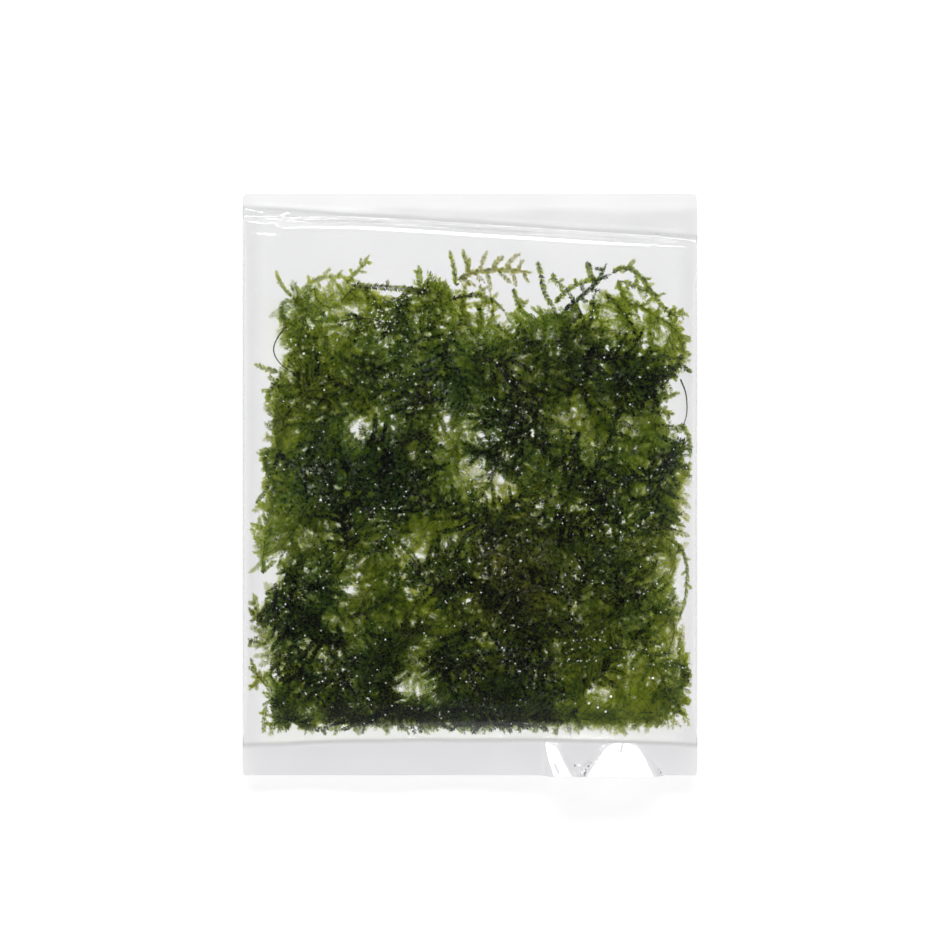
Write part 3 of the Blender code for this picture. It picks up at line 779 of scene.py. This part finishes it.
def raise_lines(flat, level):
    """Flat lines lifted to their level between the back film and the front one."""
    limit = HALF_WIDTH - 1.5 * MM
    x = np.clip(flat[..., 0], -limit, limit)
    low, high = film_heights(x, flat[..., 1], MOSS_INSET)
    z = low + level * (high - low)
    return np.stack([x, flat[..., 1], z], axis=-1)


def leafy_shoots(lines, normals, leaves, leaf_length, leaf_width, radius, rng, tone, hue, silver,
                 lean=1.0, uneven=0.16):
    """Shoots along centre lines: their points, triangles, tone, hue, silver and face slots.

    Each shoot is a three-sided tube whose radius falls towards its tip. Its leaves stand in two
    rows, every second one to the other side, and lean further forward towards the tip. A leaf is a
    kite of two triangles folded along its rib: base, shoulders and tip.
    """
    shoots, knots = lines.shape[:2]
    tangent = unit(np.gradient(lines, axis=1))
    side = unit(np.cross(normals[:, None, :], tangent))
    up = np.cross(tangent, side)

    part = np.linspace(0.0, 1.0, knots)
    width = radius[:, None] * (1.0 - 0.65 * part)[None, :]
    cos, sin = circle(3)
    around = cos[:, None] * side[:, :, None, :] + sin[:, None] * up[:, :, None, :]
    tube = lines[:, :, None, :] + width[:, :, None, None] * around
    caps = np.array([[0, 2, 1], [3 * knots - 3, 3 * knots - 2, 3 * knots - 1]])
    one_tube = np.concatenate([split_quads(tube_faces(knots, 3)), caps])
    tubes = (one_tube[None] + (np.arange(shoots) * 3 * knots)[:, None, None]).reshape(-1, 3)

    place = (np.arange(leaves) + 0.8) / leaves
    spot = np.minimum(place * (knots - 1), knots - 1 - 1e-6)
    root, ahead, out, lift = (between(values, spot) for values in (lines, tangent, side, up))
    out = out * np.where(np.arange(leaves) % 2, 1.0, -1.0)[None, :, None]
    spread = rng.uniform(48.0, 72.0, (shoots, leaves)) * (1.0 - 0.55 * place ** 6)
    spread = np.radians(lean * spread)[..., None]
    raised = np.radians(rng.normal(6.0, 17.0, (shoots, leaves)))[..., None]
    axis = (ahead * np.cos(spread) + out * np.sin(spread)) * np.cos(raised) + lift * np.sin(raised)
    broad = unit(np.cross(lift, axis))
    over = np.cross(axis, broad)
    grown = np.minimum(1.0, 0.62 + 1.6 * (1.0 - place))[None, :, None]
    grown = grown * rng.uniform(0.80, 1.15, (shoots, leaves))[..., None]
    length = leaf_length[:, None, None] * grown
    breadth = 0.5 * leaf_width[:, None, None] * grown
    corners = np.stack([
        root,
        root + 0.40 * length * axis + breadth * broad + 0.35 * breadth * over,
        root + length * axis,
        root + 0.40 * length * axis - breadth * broad + 0.35 * breadth * over], axis=2)
    kite = np.array([[0, 3, 2], [0, 2, 1]])
    start = tube.size // 3
    count = shoots * leaves
    blades = (kite[None] + (start + 4 * np.arange(count))[:, None, None]).reshape(-1, 3)

    leaf_tone = tone[:, None] + 0.18 * place[None, :] + rng.normal(0.0, uneven, (shoots, leaves))
    leaf_tone = leaf_tone[..., None] + np.array([-0.18, 0.0, 0.22, 0.0])
    leaf_hue = np.broadcast_to(hue[:, None, None], leaf_tone.shape)
    # Painted sheen: a share of the leaves, set by the silver field, get a silvery tip
    tips = rng.random((shoots, leaves)) < silver[:, None]
    leaf_silver = tips[..., None] * np.array([0.1, 0.6, 1.0, 0.3])
    return (
        np.concatenate([tube.reshape(-1, 3), corners.reshape(-1, 3)]),
        np.concatenate([tubes, blades]),
        np.concatenate([np.repeat(tone, 3 * knots), leaf_tone.ravel()]),
        np.concatenate([np.repeat(hue, 3 * knots), leaf_hue.ravel()]),
        np.concatenate([np.zeros(tube.size // 3), leaf_silver.ravel()]),
        np.concatenate([np.ones(len(tubes)), np.zeros(len(blades))]))


def join_meshes(groups):
    """One mesh from several groups of points, triangles and fields."""
    starts = np.cumsum([0] + [len(group[0]) for group in groups[:-1]])
    groups = [(g[0], g[1] + start, *g[2:]) for g, start in zip(groups, starts)]
    return tuple(np.concatenate(parts) for parts in zip(*groups))


def facing(count, lean, rng):
    """Normals that face the front, each leaning its own way."""
    return unit(np.concatenate([rng.normal(0.0, lean, (count, 2)), np.ones((count, 1))], axis=1))


def grow_plants(flat, level, branches, reach, tone, hue, settings, rng, slim=False):
    """Leafy stems along flat routes, and side branches to both sides of each.

    The side branches reach furthest a third of the way along a stem. Those of the mat that would
    leave it or cross a gap are cut short there. The leaves of a slim plant are smaller and lean more
    forward, and its side branches stand out straighter.
    """
    size, lean, uneven, sparse = (0.95, 0.90, 0.24, 0.82) if slim else (1.0, 0.88, 0.18, 1.0)
    shine = (0.3 if slim else 1.0) * settings.silver
    plants, knots = flat.shape[:2]
    lines = raise_lines(flat, level)
    span = np.linalg.norm(np.diff(flat, axis=1), axis=-1).sum(axis=1)

    def sized(count, size):
        """A size for each shoot, up to a fifth more or less."""
        return size * rng.uniform(0.85, 1.15, count)

    # Leaves in the mat are longer and thinner the further back they are
    front = level.mean(axis=1)
    deep = np.ones(plants) if slim else 1.22 - 0.34 * front
    thin = np.ones(plants) if slim else 0.55 + 0.48 * front
    leaves = max(6, int(round(sparse * np.mean(span) / (settings.leaf_pitch * size))))
    groups = [leafy_shoots(
        lines, facing(plants, 0.25, rng), leaves, deep * sized(plants, size * settings.leaf_length),
        thin * sized(plants, size * settings.leaf_width), sized(plants, settings.stem_radius),
        rng, tone, hue, shine * silvery(flat, level), lean, uneven)]
    if not branches:
        return groups

    place = (np.arange(branches) + 0.8) / (branches + 0.8)
    spot = place * (knots - 1)
    base, base_level = between(flat, spot), between(level, spot)
    step = np.gradient(flat, axis=1)
    stem_angle = np.arctan2(step[..., 1], step[..., 0])[:, spot.astype(int)]
    hand = np.where(np.arange(branches) % 2, 1.0, -1.0)[None, :]
    narrow, wide = (66.0, 88.0) if slim else (48.0, 80.0)
    forward = (0.10 if slim else 0.35) * place ** 2
    open_angle = rng.uniform(narrow, wide, (plants, branches)) * (1.0 - forward)[None, :]
    angle = stem_angle + hand * np.radians(open_angle)
    shape = np.interp(place, (0.0, 0.3, 0.7, 1.0), (0.65, 1.0, 0.9, 0.6 if slim else 0.35))[None, :]
    length = reach[:, None] * shape * rng.uniform(0.7, 1.15, (plants, branches))

    count = plants * branches
    base, angle, length = base.reshape(count, 2), angle.ravel(), length.ravel()
    ahead = np.stack([np.cos(angle), np.sin(angle)], axis=-1)
    if not slim:
        samples = np.linspace(0.0, 1.0, 9)[None, 1:, None]
        trail = base[:, None, :] + samples * (length[:, None] * ahead)[:, None, :]
        free = inside_edges(trail[..., 0], trail[..., 1]) > rng.uniform(0.0, 0.9, (count, 1)) ** 1.5
        cover = gap_cover(trail[..., 0], trail[..., 1])
        cover = np.where(base_level.reshape(count, 1) < 0.10, 1.0, cover)
        free &= cover > rng.uniform(-0.25, 0.6, (count, 1))
        length = length * np.cumprod(free, axis=1).sum(axis=1) / 8.0
    part = np.linspace(0.0, 1.0, BRANCH_KNOTS)[None, :, None]
    curl = rng.normal(0.0, 0.22, count) - 0.12 * np.repeat(hand, plants, axis=0).ravel()
    curl = curl[:, None, None]
    sideways = np.stack([-ahead[:, 1], ahead[:, 0]], axis=-1)[:, None, :]
    branch = base[:, None, :] + length[:, None, None] * (
        part * ahead[:, None, :] + curl * part ** 2 * sideways)
    drift = rng.normal(0.0, 0.12, (count, 1)) * part[..., 0]
    branch_level = np.clip(base_level.reshape(count, 1) + drift, 0.02, 0.99)
    branch_lines = raise_lines(branch, branch_level)
    branch_tone = np.repeat(tone, branches) + rng.normal(0.06, 0.07, count)
    branch_hue = np.repeat(hue, branches)
    for shortest, longest, leaves in BRANCH_CLASSES:
        chosen = (length >= shortest * MM) & (length < longest * MM)
        number = int(chosen.sum())
        if number:
            young = size * (0.62 + 0.38 * smooth(length[chosen] / (4.5 * MM)))
            silver = shine * silvery(branch[chosen], branch_level[chosen])
            groups.append(leafy_shoots(
                branch_lines[chosen], facing(number, 0.35, rng), int(round(sparse * leaves)),
                young * np.repeat(deep, branches)[chosen] * sized(number, settings.leaf_length),
                young * np.repeat(thin, branches)[chosen] * sized(number, settings.leaf_width),
                sized(number, 0.55 * settings.stem_radius), rng, branch_tone[chosen],
                branch_hue[chosen], silver, lean, uneven))
    return groups


def resampled(route_mm, knots):
    """A route as so many evenly spaced knots on a smooth curve, in metres.

    The curve is a chain of cubics through the points, each with the slope of its neighbours' chord.
    """
    points = np.array(route_mm) * MM
    padded = np.concatenate([
        2.0 * points[:1] - points[1:2], points, 2.0 * points[-1:] - points[-2:-1]])
    t = np.linspace(0.0, 1.0, 12, endpoint=False)[:, None]
    pieces = []
    for p0, p1, p2, p3 in zip(padded, padded[1:], padded[2:], padded[3:]):
        pieces.append(0.5 * (
            2.0 * p1 + (p2 - p0) * t + (2.0 * p0 - 5.0 * p1 + 4.0 * p2 - p3) * t ** 2
            + (3.0 * p1 - p0 - 3.0 * p2 + p3) * t ** 3))
    fine = np.concatenate(pieces + [points[-1:]])
    reach = np.concatenate([[0.0], np.cumsum(np.linalg.norm(np.diff(fine, axis=0), axis=1))])
    even = np.linspace(0.0, reach[-1], knots)
    return np.stack([np.interp(even, reach, fine[:, 0]), np.interp(even, reach, fine[:, 1])], axis=-1)


def traced_shoot(route, level, branches, reach, tone, hue, settings, rng):
    """One shoot along a traced route, at 0.85 of its tone."""
    flat = resampled(route, STEM_KNOTS)[None]
    levels = np.full((1, STEM_KNOTS), level)
    tone = 0.85 * tone
    return grow_plants(
        flat, levels, branches, np.array([reach * MM]), np.array([tone]), np.array([hue]), settings, rng,
        slim=True)


def plan_mat(settings):
    """Routes, levels, thickness share and hue of all the plants of the mat.

    The plants are laid one by one. Each is the best of a handful of wandering routes: the one whose
    knots lie where most layers are still missing. It then adds a soft hill of layers along itself,
    e to the minus half of (distance over spread) squared at each knot. Where hardly any layer is
    missing, none is laid. A few more plants lie right at the back, behind the gaps too.
    """
    rng = np.random.default_rng(settings.seed)
    # The cells of the plan, and how many layers each still lacks
    across = np.arange(-50.0, 50.0, CELL) * MM
    along = np.arange(-58.0, 52.0, CELL) * MM
    grid_x, grid_y = np.meshgrid(across, along, indexing="ij")
    wanted = (inside_edges(grid_x, grid_y) > 0.5) & (gap_cover(grid_x, grid_y) > 0.4)
    missing = mat_areas(grid_x, grid_y)[0] * wanted * settings.layers
    plants = int(settings.most_plants)
    handful = 24
    tries = plants * handful
    corner_low = np.array([-49.0, BOTTOM_EDGE]) * MM
    corner_high = np.array([49.0, 47.0]) * MM
    start = rng.uniform(corner_low, corner_high, (tries, 2))
    heading = rng.uniform(0.0, 2.0 * np.pi, tries)
    length = rng.uniform(12.0, 22.0, tries) * MM
    flat = wander(start, heading, length, rng)
    cells = np.round((flat - np.array([across[0], along[0]])) / (CELL * MM)).astype(int)
    cells = np.clip(cells, 0, np.array(grid_x.shape) - 1)
    inside = inside_edges(flat[..., 0], flat[..., 1])
    cover = (inside * gap_cover(flat[..., 0], flat[..., 1])).mean(axis=1)
    area = settings.plant_area / (2.0 * np.pi * SPREAD ** 2 * STEM_KNOTS)
    chosen = []
    for first in range(0, tries, handful):
        batch = slice(first, first + handful)
        lack = missing[cells[batch, :, 0], cells[batch, :, 1]].mean(axis=1)
        lack = lack - settings.layers * np.clip(0.9 - cover[batch], 0.0, 1.0)
        best = first + int(np.argmax(lack))
        if lack.max() < 0.08 * settings.layers:
            continue
        chosen.append(best)
        for x, y in flat[best]:
            away = ((grid_x - x) ** 2 + (grid_y - y) ** 2) / (SPREAD * MM) ** 2
            missing -= area * np.exp(-0.5 * away)
    spare = np.setdiff1d(np.nonzero(inside.mean(axis=1) > 0.9)[0], chosen)
    behind = int(settings.backing * len(chosen))
    flat = np.concatenate([flat[chosen], flat[spare[:behind]]])
    share, hue = mat_areas(flat[..., 0], flat[..., 1])
    count = len(flat)
    # Levels in steps of the golden share, so that they are spread evenly from back to front
    golden = 0.618034
    level = 0.03 + 0.94 * np.mod(golden * np.arange(count) + 0.3, 1.0)[:, None]
    level[len(chosen):] = 0.02 + 0.15 * level[len(chosen):]
    share[len(chosen):] = 0.4
    level = level + 0.07 * np.sin(
        np.linspace(0.0, 3.0, STEM_KNOTS)[None, :] + rng.uniform(0.0, 6.0, (count, 1)))
    for centre_x, centre_y, half_x, half_y, missing_front in DEEP:
        level = level * (1.0 - missing_front * bell(
            flat[..., 0], flat[..., 1], centre_x, centre_y, half_x, half_y, 3.0))
    return flat, np.clip(level, 0.02, 0.98), share.mean(axis=1), hue.mean(axis=1)


def nearest_tuft(flat, nodes):
    """Which tuft's box each route's middle lies nearest to the centre of, in halves of the box."""
    middle = flat.mean(axis=1)
    boxes = np.array([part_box(node) for node in nodes])[:, :, :2]
    centre = boxes.mean(axis=1)
    half = 0.5 * (boxes[:, 1] - boxes[:, 0])
    away = np.abs(middle[:, None, :] - centre[None]) / half[None]
    return np.argmin(away.max(axis=2), axis=1)


def tuft_mesh(node, seed, plan, mine, settings):
    """The shoots of one tuft: its share of the mat's plants, and its traced fronds."""
    rng = np.random.default_rng(seed)
    flat, level, share, hue = (values[mine] for values in plan)
    count = len(flat)
    front = level.mean(axis=1)
    # Painted light: plants further back and in thinner parts of the mat get a brighter tone, as if lit
    # through from behind, and those in thicker parts a darker one
    tone = 0.78 - 0.76 * front + 0.50 * (1.0 - np.minimum(1.0, share))
    tone = tone - 0.35 * (np.maximum(1.0, share) - 1.0)
    tone = np.clip(tone + rng.normal(0.0, 0.17, count), 0.0, 1.0)
    # Painted light too: plants further forward get a hue a little towards blue-green, as if lit from the
    # front
    hue = np.clip(hue + rng.normal(0.05, 0.20, count) - 0.25 * front, -1.0, 1.0)
    reach = rng.uniform(4.5, 7.5, count) * MM
    groups = grow_plants(flat, level, BRANCHES, reach, tone, hue, settings, rng)
    for route, *rest in FRONDS.get(node, ()):
        groups += traced_shoot(route, *rest, settings, rng)
    return join_meshes(groups)


def press_in(points, inset):
    """Points that would pass through the film pressed back inside it."""
    limit = HALF_WIDTH - inset
    x = np.clip(points[:, 0], -limit, limit)
    bottom, top = crease_lines(x, CREASE_MARGIN)
    y = np.clip(points[:, 1], bottom, top)
    low, high = film_heights(x, y, inset)
    return np.stack([x, y, np.clip(points[:, 2], low, high)], axis=-1)


class MossSettings(bpy.types.PropertyGroup):
    """Sizes of the shoots and their leaves."""

    leaf_length: bpy.props.FloatProperty(
        name="Leaf length", description="Length of a full-grown leaf", default=1.0 * MM,
        unit="LENGTH", precision=5)
    leaf_width: bpy.props.FloatProperty(
        name="Leaf width", description="Width of a full-grown leaf", default=0.54 * MM,
        unit="LENGTH", precision=5)
    leaf_pitch: bpy.props.FloatProperty(
        name="Leaf pitch", description="Distance from one leaf to the next along a stem",
        default=0.19 * MM, unit="LENGTH", precision=5)
    stem_radius: bpy.props.FloatProperty(
        name="Stem radius", description="Radius of a main stem at its foot", default=0.12 * MM,
        unit="LENGTH", precision=5)
    # The silvery tips are a painted sheen in the leaf colour
    silver: bpy.props.FloatProperty(
        name="Silver tips", description="Share of the foremost leaves with a silvery tip", default=0.30)
    layers: bpy.props.FloatProperty(
        name="Layers", description="Layers of shoots one over another in the mat", default=5.8)
    plant_area: bpy.props.FloatProperty(
        name="Plant area", description="Square millimetres that one branched stem covers", default=130.0)
    most_plants: bpy.props.IntProperty(
        name="Most plants", description="Most branched stems in the mat", default=1000)
    backing: bpy.props.FloatProperty(
        name="Backing", description="Share of plants added right at the back, behind the gaps too",
        default=0.08)
    seed: bpy.props.IntProperty(name="Seed", description="Seed of the mat's layout", default=11)


class MOSS_OT_film(bpy.types.Operator):
    """Build the film of the pouch"""

    bl_idname = "moss.film"
    bl_label = "Film"

    def execute(self, context):
        across, side = section_across()
        x = across * HALF_WIDTH
        body = pillow_points(0.0, 0.5 * SEAL_GAP)
        # Rings of a flap, from its crease to its free end, where its films close and thin out
        part = np.array((0.02, 0.045, 0.08, 0.12, *np.linspace(0.18, 0.94, 9), 0.97, 0.99, 1.0))[:, None]
        closed = smooth((part - 0.4) / 0.6)
        # Share of the film's thickness, which falls towards the free end and at the side folds
        wall = (1.0 - 0.9 * closed) * (0.15 + 0.85 * smooth((1.0 - np.abs(across)) / 0.02))
        flaps = []
        for end, line in zip((-1, 1), crease_lines(x, 0.0)):
            y = line + part * (end * HALF_LENGTH - line)
            # The films lie half a gap off the seam and wave along it by a sine, more towards the end
            wave = 0.3 * MM * part * np.sin(3.0 * np.pi * across + end)
            z = SEAM_Z + wave + 0.5 * side * SEAL_GAP * (1.0 - 0.9 * closed)
            # The corners are rounded by a quarter circle, and less so at the bottom end
            left_over = np.clip(np.abs(end * HALF_LENGTH - y), 0.0, CORNER)
            inset = CORNER - np.sqrt(CORNER ** 2 - (CORNER - left_over) ** 2)
            flat_x = x * (1.0 - (inset if end > 0 else 0.4 * inset) / HALF_WIDTH)
            if end < 0:
                z = z + flap_lift(flat_x, np.abs(y - line), closed)
            flaps.append(np.stack([flat_x, y, z], axis=-1))
        rings = np.concatenate([flaps[0][::-1], body, flaps[1]])
        thickness = np.concatenate([wall[::-1], np.ones(body.shape[:2]), wall])
        materials = [
            film_material("film_inside", roughness=0.27, gleam=0.0, ior=1.15),
            film_material("film_outside", roughness=0.05, gleam=1.0, ior=1.5)]
        piece = add_piece(
            "film", rings.reshape(-1, 3), closed_faces(len(rings), SIDES), materials, ["pouch"],
            smooth_shaded=True)
        group = piece.vertex_groups.new(name="thickness")
        for value in np.unique(thickness):
            group.add(np.nonzero(thickness.ravel() == value)[0].tolist(), float(value), "REPLACE")
        solid = piece.modifiers.new("wall", "SOLIDIFY")
        solid.thickness = FILM
        solid.offset = 1.0
        solid.material_offset = 1
        solid.vertex_group = group.name
        return {"FINISHED"}


class MOSS_OT_water(bpy.types.Operator):
    """Build the water that fills the pouch"""

    bl_idname = "moss.water"
    bl_label = "Water"

    def execute(self, context):
        rings = pillow_points(WATER_INSET, 0.5 * SEAL_GAP - WATER_INSET)
        add_piece(
            "water", rings.reshape(-1, 3), closed_faces(len(rings), SIDES), [water_material()],
            ["water_front", "water_back"], smooth_shaded=True)
        return {"FINISHED"}


class MOSS_OT_tufts(bpy.types.Operator):
    """Build the mat of moss, one mesh for each tuft"""

    bl_idname = "moss.tufts"
    bl_label = "Tufts"

    def execute(self, context):
        materials = [leaf_material(), stem_material()]
        nodes = [name for name in frame["nodes"] if name.startswith("moss_")]
        plan = plan_mat(context.scene.moss)
        owner = nearest_tuft(plan[0], nodes)
        for index, node in enumerate(nodes):
            points, faces, tone, hue, silver, slots = tuft_mesh(
                node, TUFT_SEED + index, plan, owner == index, context.scene.moss)
            add_piece(
                node.replace("moss_", "tuft_"), press_in(points, LEAF_INSET), faces, materials,
                [node], {"tone": tone, "hue": hue, "silver": silver}, slots)
        return {"FINISHED"}


class MOSS_OT_shoots(bpy.types.Operator):
    """Build the single leafy shoots round the mat"""

    bl_idname = "moss.shoots"
    bl_label = "Shoots"

    def execute(self, context):
        materials = [bpy.data.materials["moss_leaf"], bpy.data.materials["moss_stem"]]
        for number, (node, (route, *rest)) in enumerate(SHOOTS.items()):
            rng = np.random.default_rng(SHOOT_SEED + number)
            groups = traced_shoot(route, *rest, context.scene.moss, rng)
            points, faces, tone, hue, silver, slots = join_meshes(groups)
            add_piece(
                "leafy_" + node, press_in(points, LEAF_INSET), faces, materials, [node],
                {"tone": tone, "hue": hue, "silver": silver}, slots)
        return {"FINISHED"}


class MOSS_OT_stems(bpy.types.Operator):
    """Build the bare stems"""

    bl_idname = "moss.stems"
    bl_label = "Stems"

    def execute(self, context):
        # A tube whose radius falls evenly to 0.6 of itself, with slight knobs by a sine
        knots, sides = 40, 8
        knobs = 1.0 + 0.15 * np.sin(np.arange(knots) * 1.9)
        radius = (0.17 * MM * knobs * np.linspace(1.0, 0.6, knots))[:, None, None]
        cos, sin = circle(sides)
        fan = np.array([[0, i + 1, i] for i in range(1, sides - 1)])
        faces = np.concatenate([
            split_quads(tube_faces(knots, sides)), fan, (knots - 1) * sides + fan[:, ::-1]])
        for node, (route, level) in STEMS.items():
            line = raise_lines(resampled(route, knots), level)
            tangent = unit(np.gradient(line, axis=0))
            side = unit(np.cross((0.0, 0.0, 1.0), tangent))
            up = np.cross(tangent, side)
            rings = line[:, None, :] + radius * (
                cos[:, None] * side[:, None, :] + sin[:, None] * up[:, None, :])
            add_piece(
                "bare_" + node, rings.reshape(-1, 3), faces, [bpy.data.materials["moss_stem"]],
                [node], smooth_shaded=True)
        return {"FINISHED"}


class MOSS_OT_bubbles(bpy.types.Operator):
    """Build the small air bubbles that hang on the shoots under the front film"""

    bl_idname = "moss.bubbles"
    bl_label = "Bubbles"

    def execute(self, context):
        rng = np.random.default_rng(BUBBLE_SEED)
        each = 70
        spots = []
        for piece in context.scene.objects:
            if piece.name.startswith("tuft_"):
                points = np.empty(3 * len(piece.data.vertices), dtype=np.float32)
                piece.data.vertices.foreach_get("co", points)
                points = points.reshape(-1, 3).astype(float)
                low, high = film_heights(points[:, 0], points[:, 1], MOSS_INSET)
                front = points[points[:, 2] > low + 0.72 * (high - low)]
                spots.append(front[rng.integers(0, len(front), each)])
        # The larger bubbles stand last
        large = np.array(AIR)
        place = large[:, :2] * MM
        large_z = film_heights(place[:, 0], place[:, 1], 0.8 * MM)[1]
        centres = np.concatenate(spots + [np.column_stack([place, large_z])])
        count = len(centres)
        radius = (0.11 + 0.10 * rng.random(count) ** 2) * MM
        radius[-len(large):] = 0.65 * large[:, 2] * MM
        centres[:, 2] += radius + 0.5 * MM
        centres = press_in(centres, 0.3 * MM)
        # A ball of three rings of six points and two poles
        cos, sin = circle(6)
        rise = np.radians((-45.0, 0.0, 45.0))[:, None]
        ball = np.stack([
            np.cos(rise) * cos, np.cos(rise) * sin, np.broadcast_to(np.sin(rise), (3, 6))], axis=-1)
        ball = np.concatenate([ball.reshape(-1, 3), [[0.0, 0.0, -1.0], [0.0, 0.0, 1.0]]])
        index = np.arange(6)
        step = (index + 1) % 6
        faces = np.concatenate([
            split_quads(tube_faces(3, 6)), np.stack([step, index, np.full(6, 18)], axis=1),
            np.stack([12 + index, 12 + step, np.full(6, 19)], axis=1)])
        points = centres[:, None, :] + radius[:, None, None] * ball[None]
        all_faces = (faces[None] + (len(ball) * np.arange(count))[:, None, None]).reshape(-1, 3)
        add_piece(
            "bubbles", points.reshape(-1, 3), all_faces, [bubble_material()],
            smooth_shaded=True)
        return {"FINISHED"}


class MOSS_OT_stage(bpy.types.Operator):
    """Set the floor, the light and the camera"""

    bl_idname = "moss.stage"
    bl_label = "Stage"

    def execute(self, context):
        scene = context.scene
        mesh = bpy.data.meshes.new("floor")
        reach, low = 2.0, -0.2 * MM
        corners = [(reach * x, reach * y, low) for x, y in ((-1, -1), (1, -1), (1, 1), (-1, 1))]
        mesh.from_pydata(corners, [], [(0, 1, 2, 3)])
        floor = bpy.data.objects.new("floor", mesh)
        scene.collection.objects.link(floor)
        # The floor glows a little, as a light table does
        material, tree, shader, _ = new_material("floor")
        tree.links.new(
            colour_ramp(tree, object_noise(tree, 3.0)[0], (0.3, 0.175), (0.7, 0.185)),
            shader.inputs["Base Color"])
        set_values(shader, Roughness=0.9, Specular_IOR_Level=0.0, Emission_Color=(1.0, 1.0, 1.0, 1.0),
                   Emission_Strength=0.9)
        material.cycles.emission_sampling = "NONE"
        mesh.materials.append(material)

        world = bpy.data.worlds.new("studio")
        world.use_nodes = True
        scene.world = world
        tree = world.node_tree
        # A room that is dark overhead, and brighter low down and beyond the pouch's top end
        parts = separate(tree, tree.nodes.new("ShaderNodeTexCoord").outputs["Generated"])
        ring = colour_ramp(
            tree, parts["Z"],
            (0.0, 0.80), (0.20, 0.75), (0.34, 0.20), (0.86, 0.16), (0.93, 0.05), (1.0, 0.035))
        head = colour_ramp(
            tree, parts["Z"],
            (0.0, 0.80), (0.2, 0.8), (0.4, 0.5), (0.75, 0.3), (0.86, 0.16), (0.94, 0.05), (1.0, 0.035))
        towards_head = add_math(tree, "MULTIPLY_ADD", parts["Y"], 4.0, -0.6)
        tree.links.new(
            mix_colours(tree, towards_head, ring, head), tree.nodes["Background"].inputs["Color"])

        # A long soft lamp beyond the top end, whose reflection whitens the film's slopes
        lamp_data = bpy.data.lights.new("strip", "AREA")
        lamp_data.shape = "RECTANGLE"
        width, depth, brightness = 1.2, 0.27, 24.0
        lamp_data.size = width
        lamp_data.size_y = depth
        lamp_data.energy = width * depth * math.pi * brightness
        lamp = bpy.data.objects.new("strip", lamp_data)
        distance, tilt = 1.2, math.radians(56.0)
        lamp.location = (0.0, distance * math.sin(tilt), distance * math.cos(tilt))
        lamp.rotation_euler = (-tilt, 0.0, 0.0)
        scene.collection.objects.link(lamp)

        # The camera looks straight down, and its frame covers this width at the seam
        height, frame_width, sensor = 0.9, 0.2072, 36.0
        data = bpy.data.cameras.new("camera")
        data.lens = sensor * (height - SEAM_Z) / frame_width
        data.sensor_width = sensor
        data.clip_start = 0.05
        camera = bpy.data.objects.new("camera", data)
        camera.location = (0.55 * MM, 2.63 * MM, height)
        scene.collection.objects.link(camera)
        scene.camera = camera
        scene.view_settings.view_transform = "Standard"
        scene.view_settings.look = "None"
        return {"FINISHED"}


class MOSS_PT_panel(bpy.types.Panel):
    """Settings and build buttons of the moss pouch"""

    bl_label = "Moss Pouch"
    bl_space_type = "VIEW_3D"
    bl_region_type = "UI"
    bl_category = "Moss"

    def draw(self, context):
        settings = context.scene.moss
        for name in MossSettings.__annotations__:
            self.layout.prop(settings, name)
        for operator in OPERATORS:
            self.layout.operator(operator.bl_idname)


OPERATORS = (
    MOSS_OT_stage, MOSS_OT_film, MOSS_OT_water, MOSS_OT_tufts, MOSS_OT_shoots, MOSS_OT_stems,
    MOSS_OT_bubbles)
CLASSES = (MossSettings, *OPERATORS, MOSS_PT_panel)


def register():
    for entry in CLASSES:
        bpy.utils.register_class(entry)
    bpy.types.Scene.moss = bpy.props.PointerProperty(type=MossSettings)


def unregister():
    del bpy.types.Scene.moss
    for entry in reversed(CLASSES):
        bpy.utils.unregister_class(entry)


def main():
    register()
    bpy.ops.moss.stage()
    bpy.ops.moss.film()
    bpy.ops.moss.water()
    bpy.ops.moss.tufts()
    bpy.ops.moss.shoots()
    bpy.ops.moss.stems()
    bpy.ops.moss.bubbles()


if __name__ == "__main__":
    main()
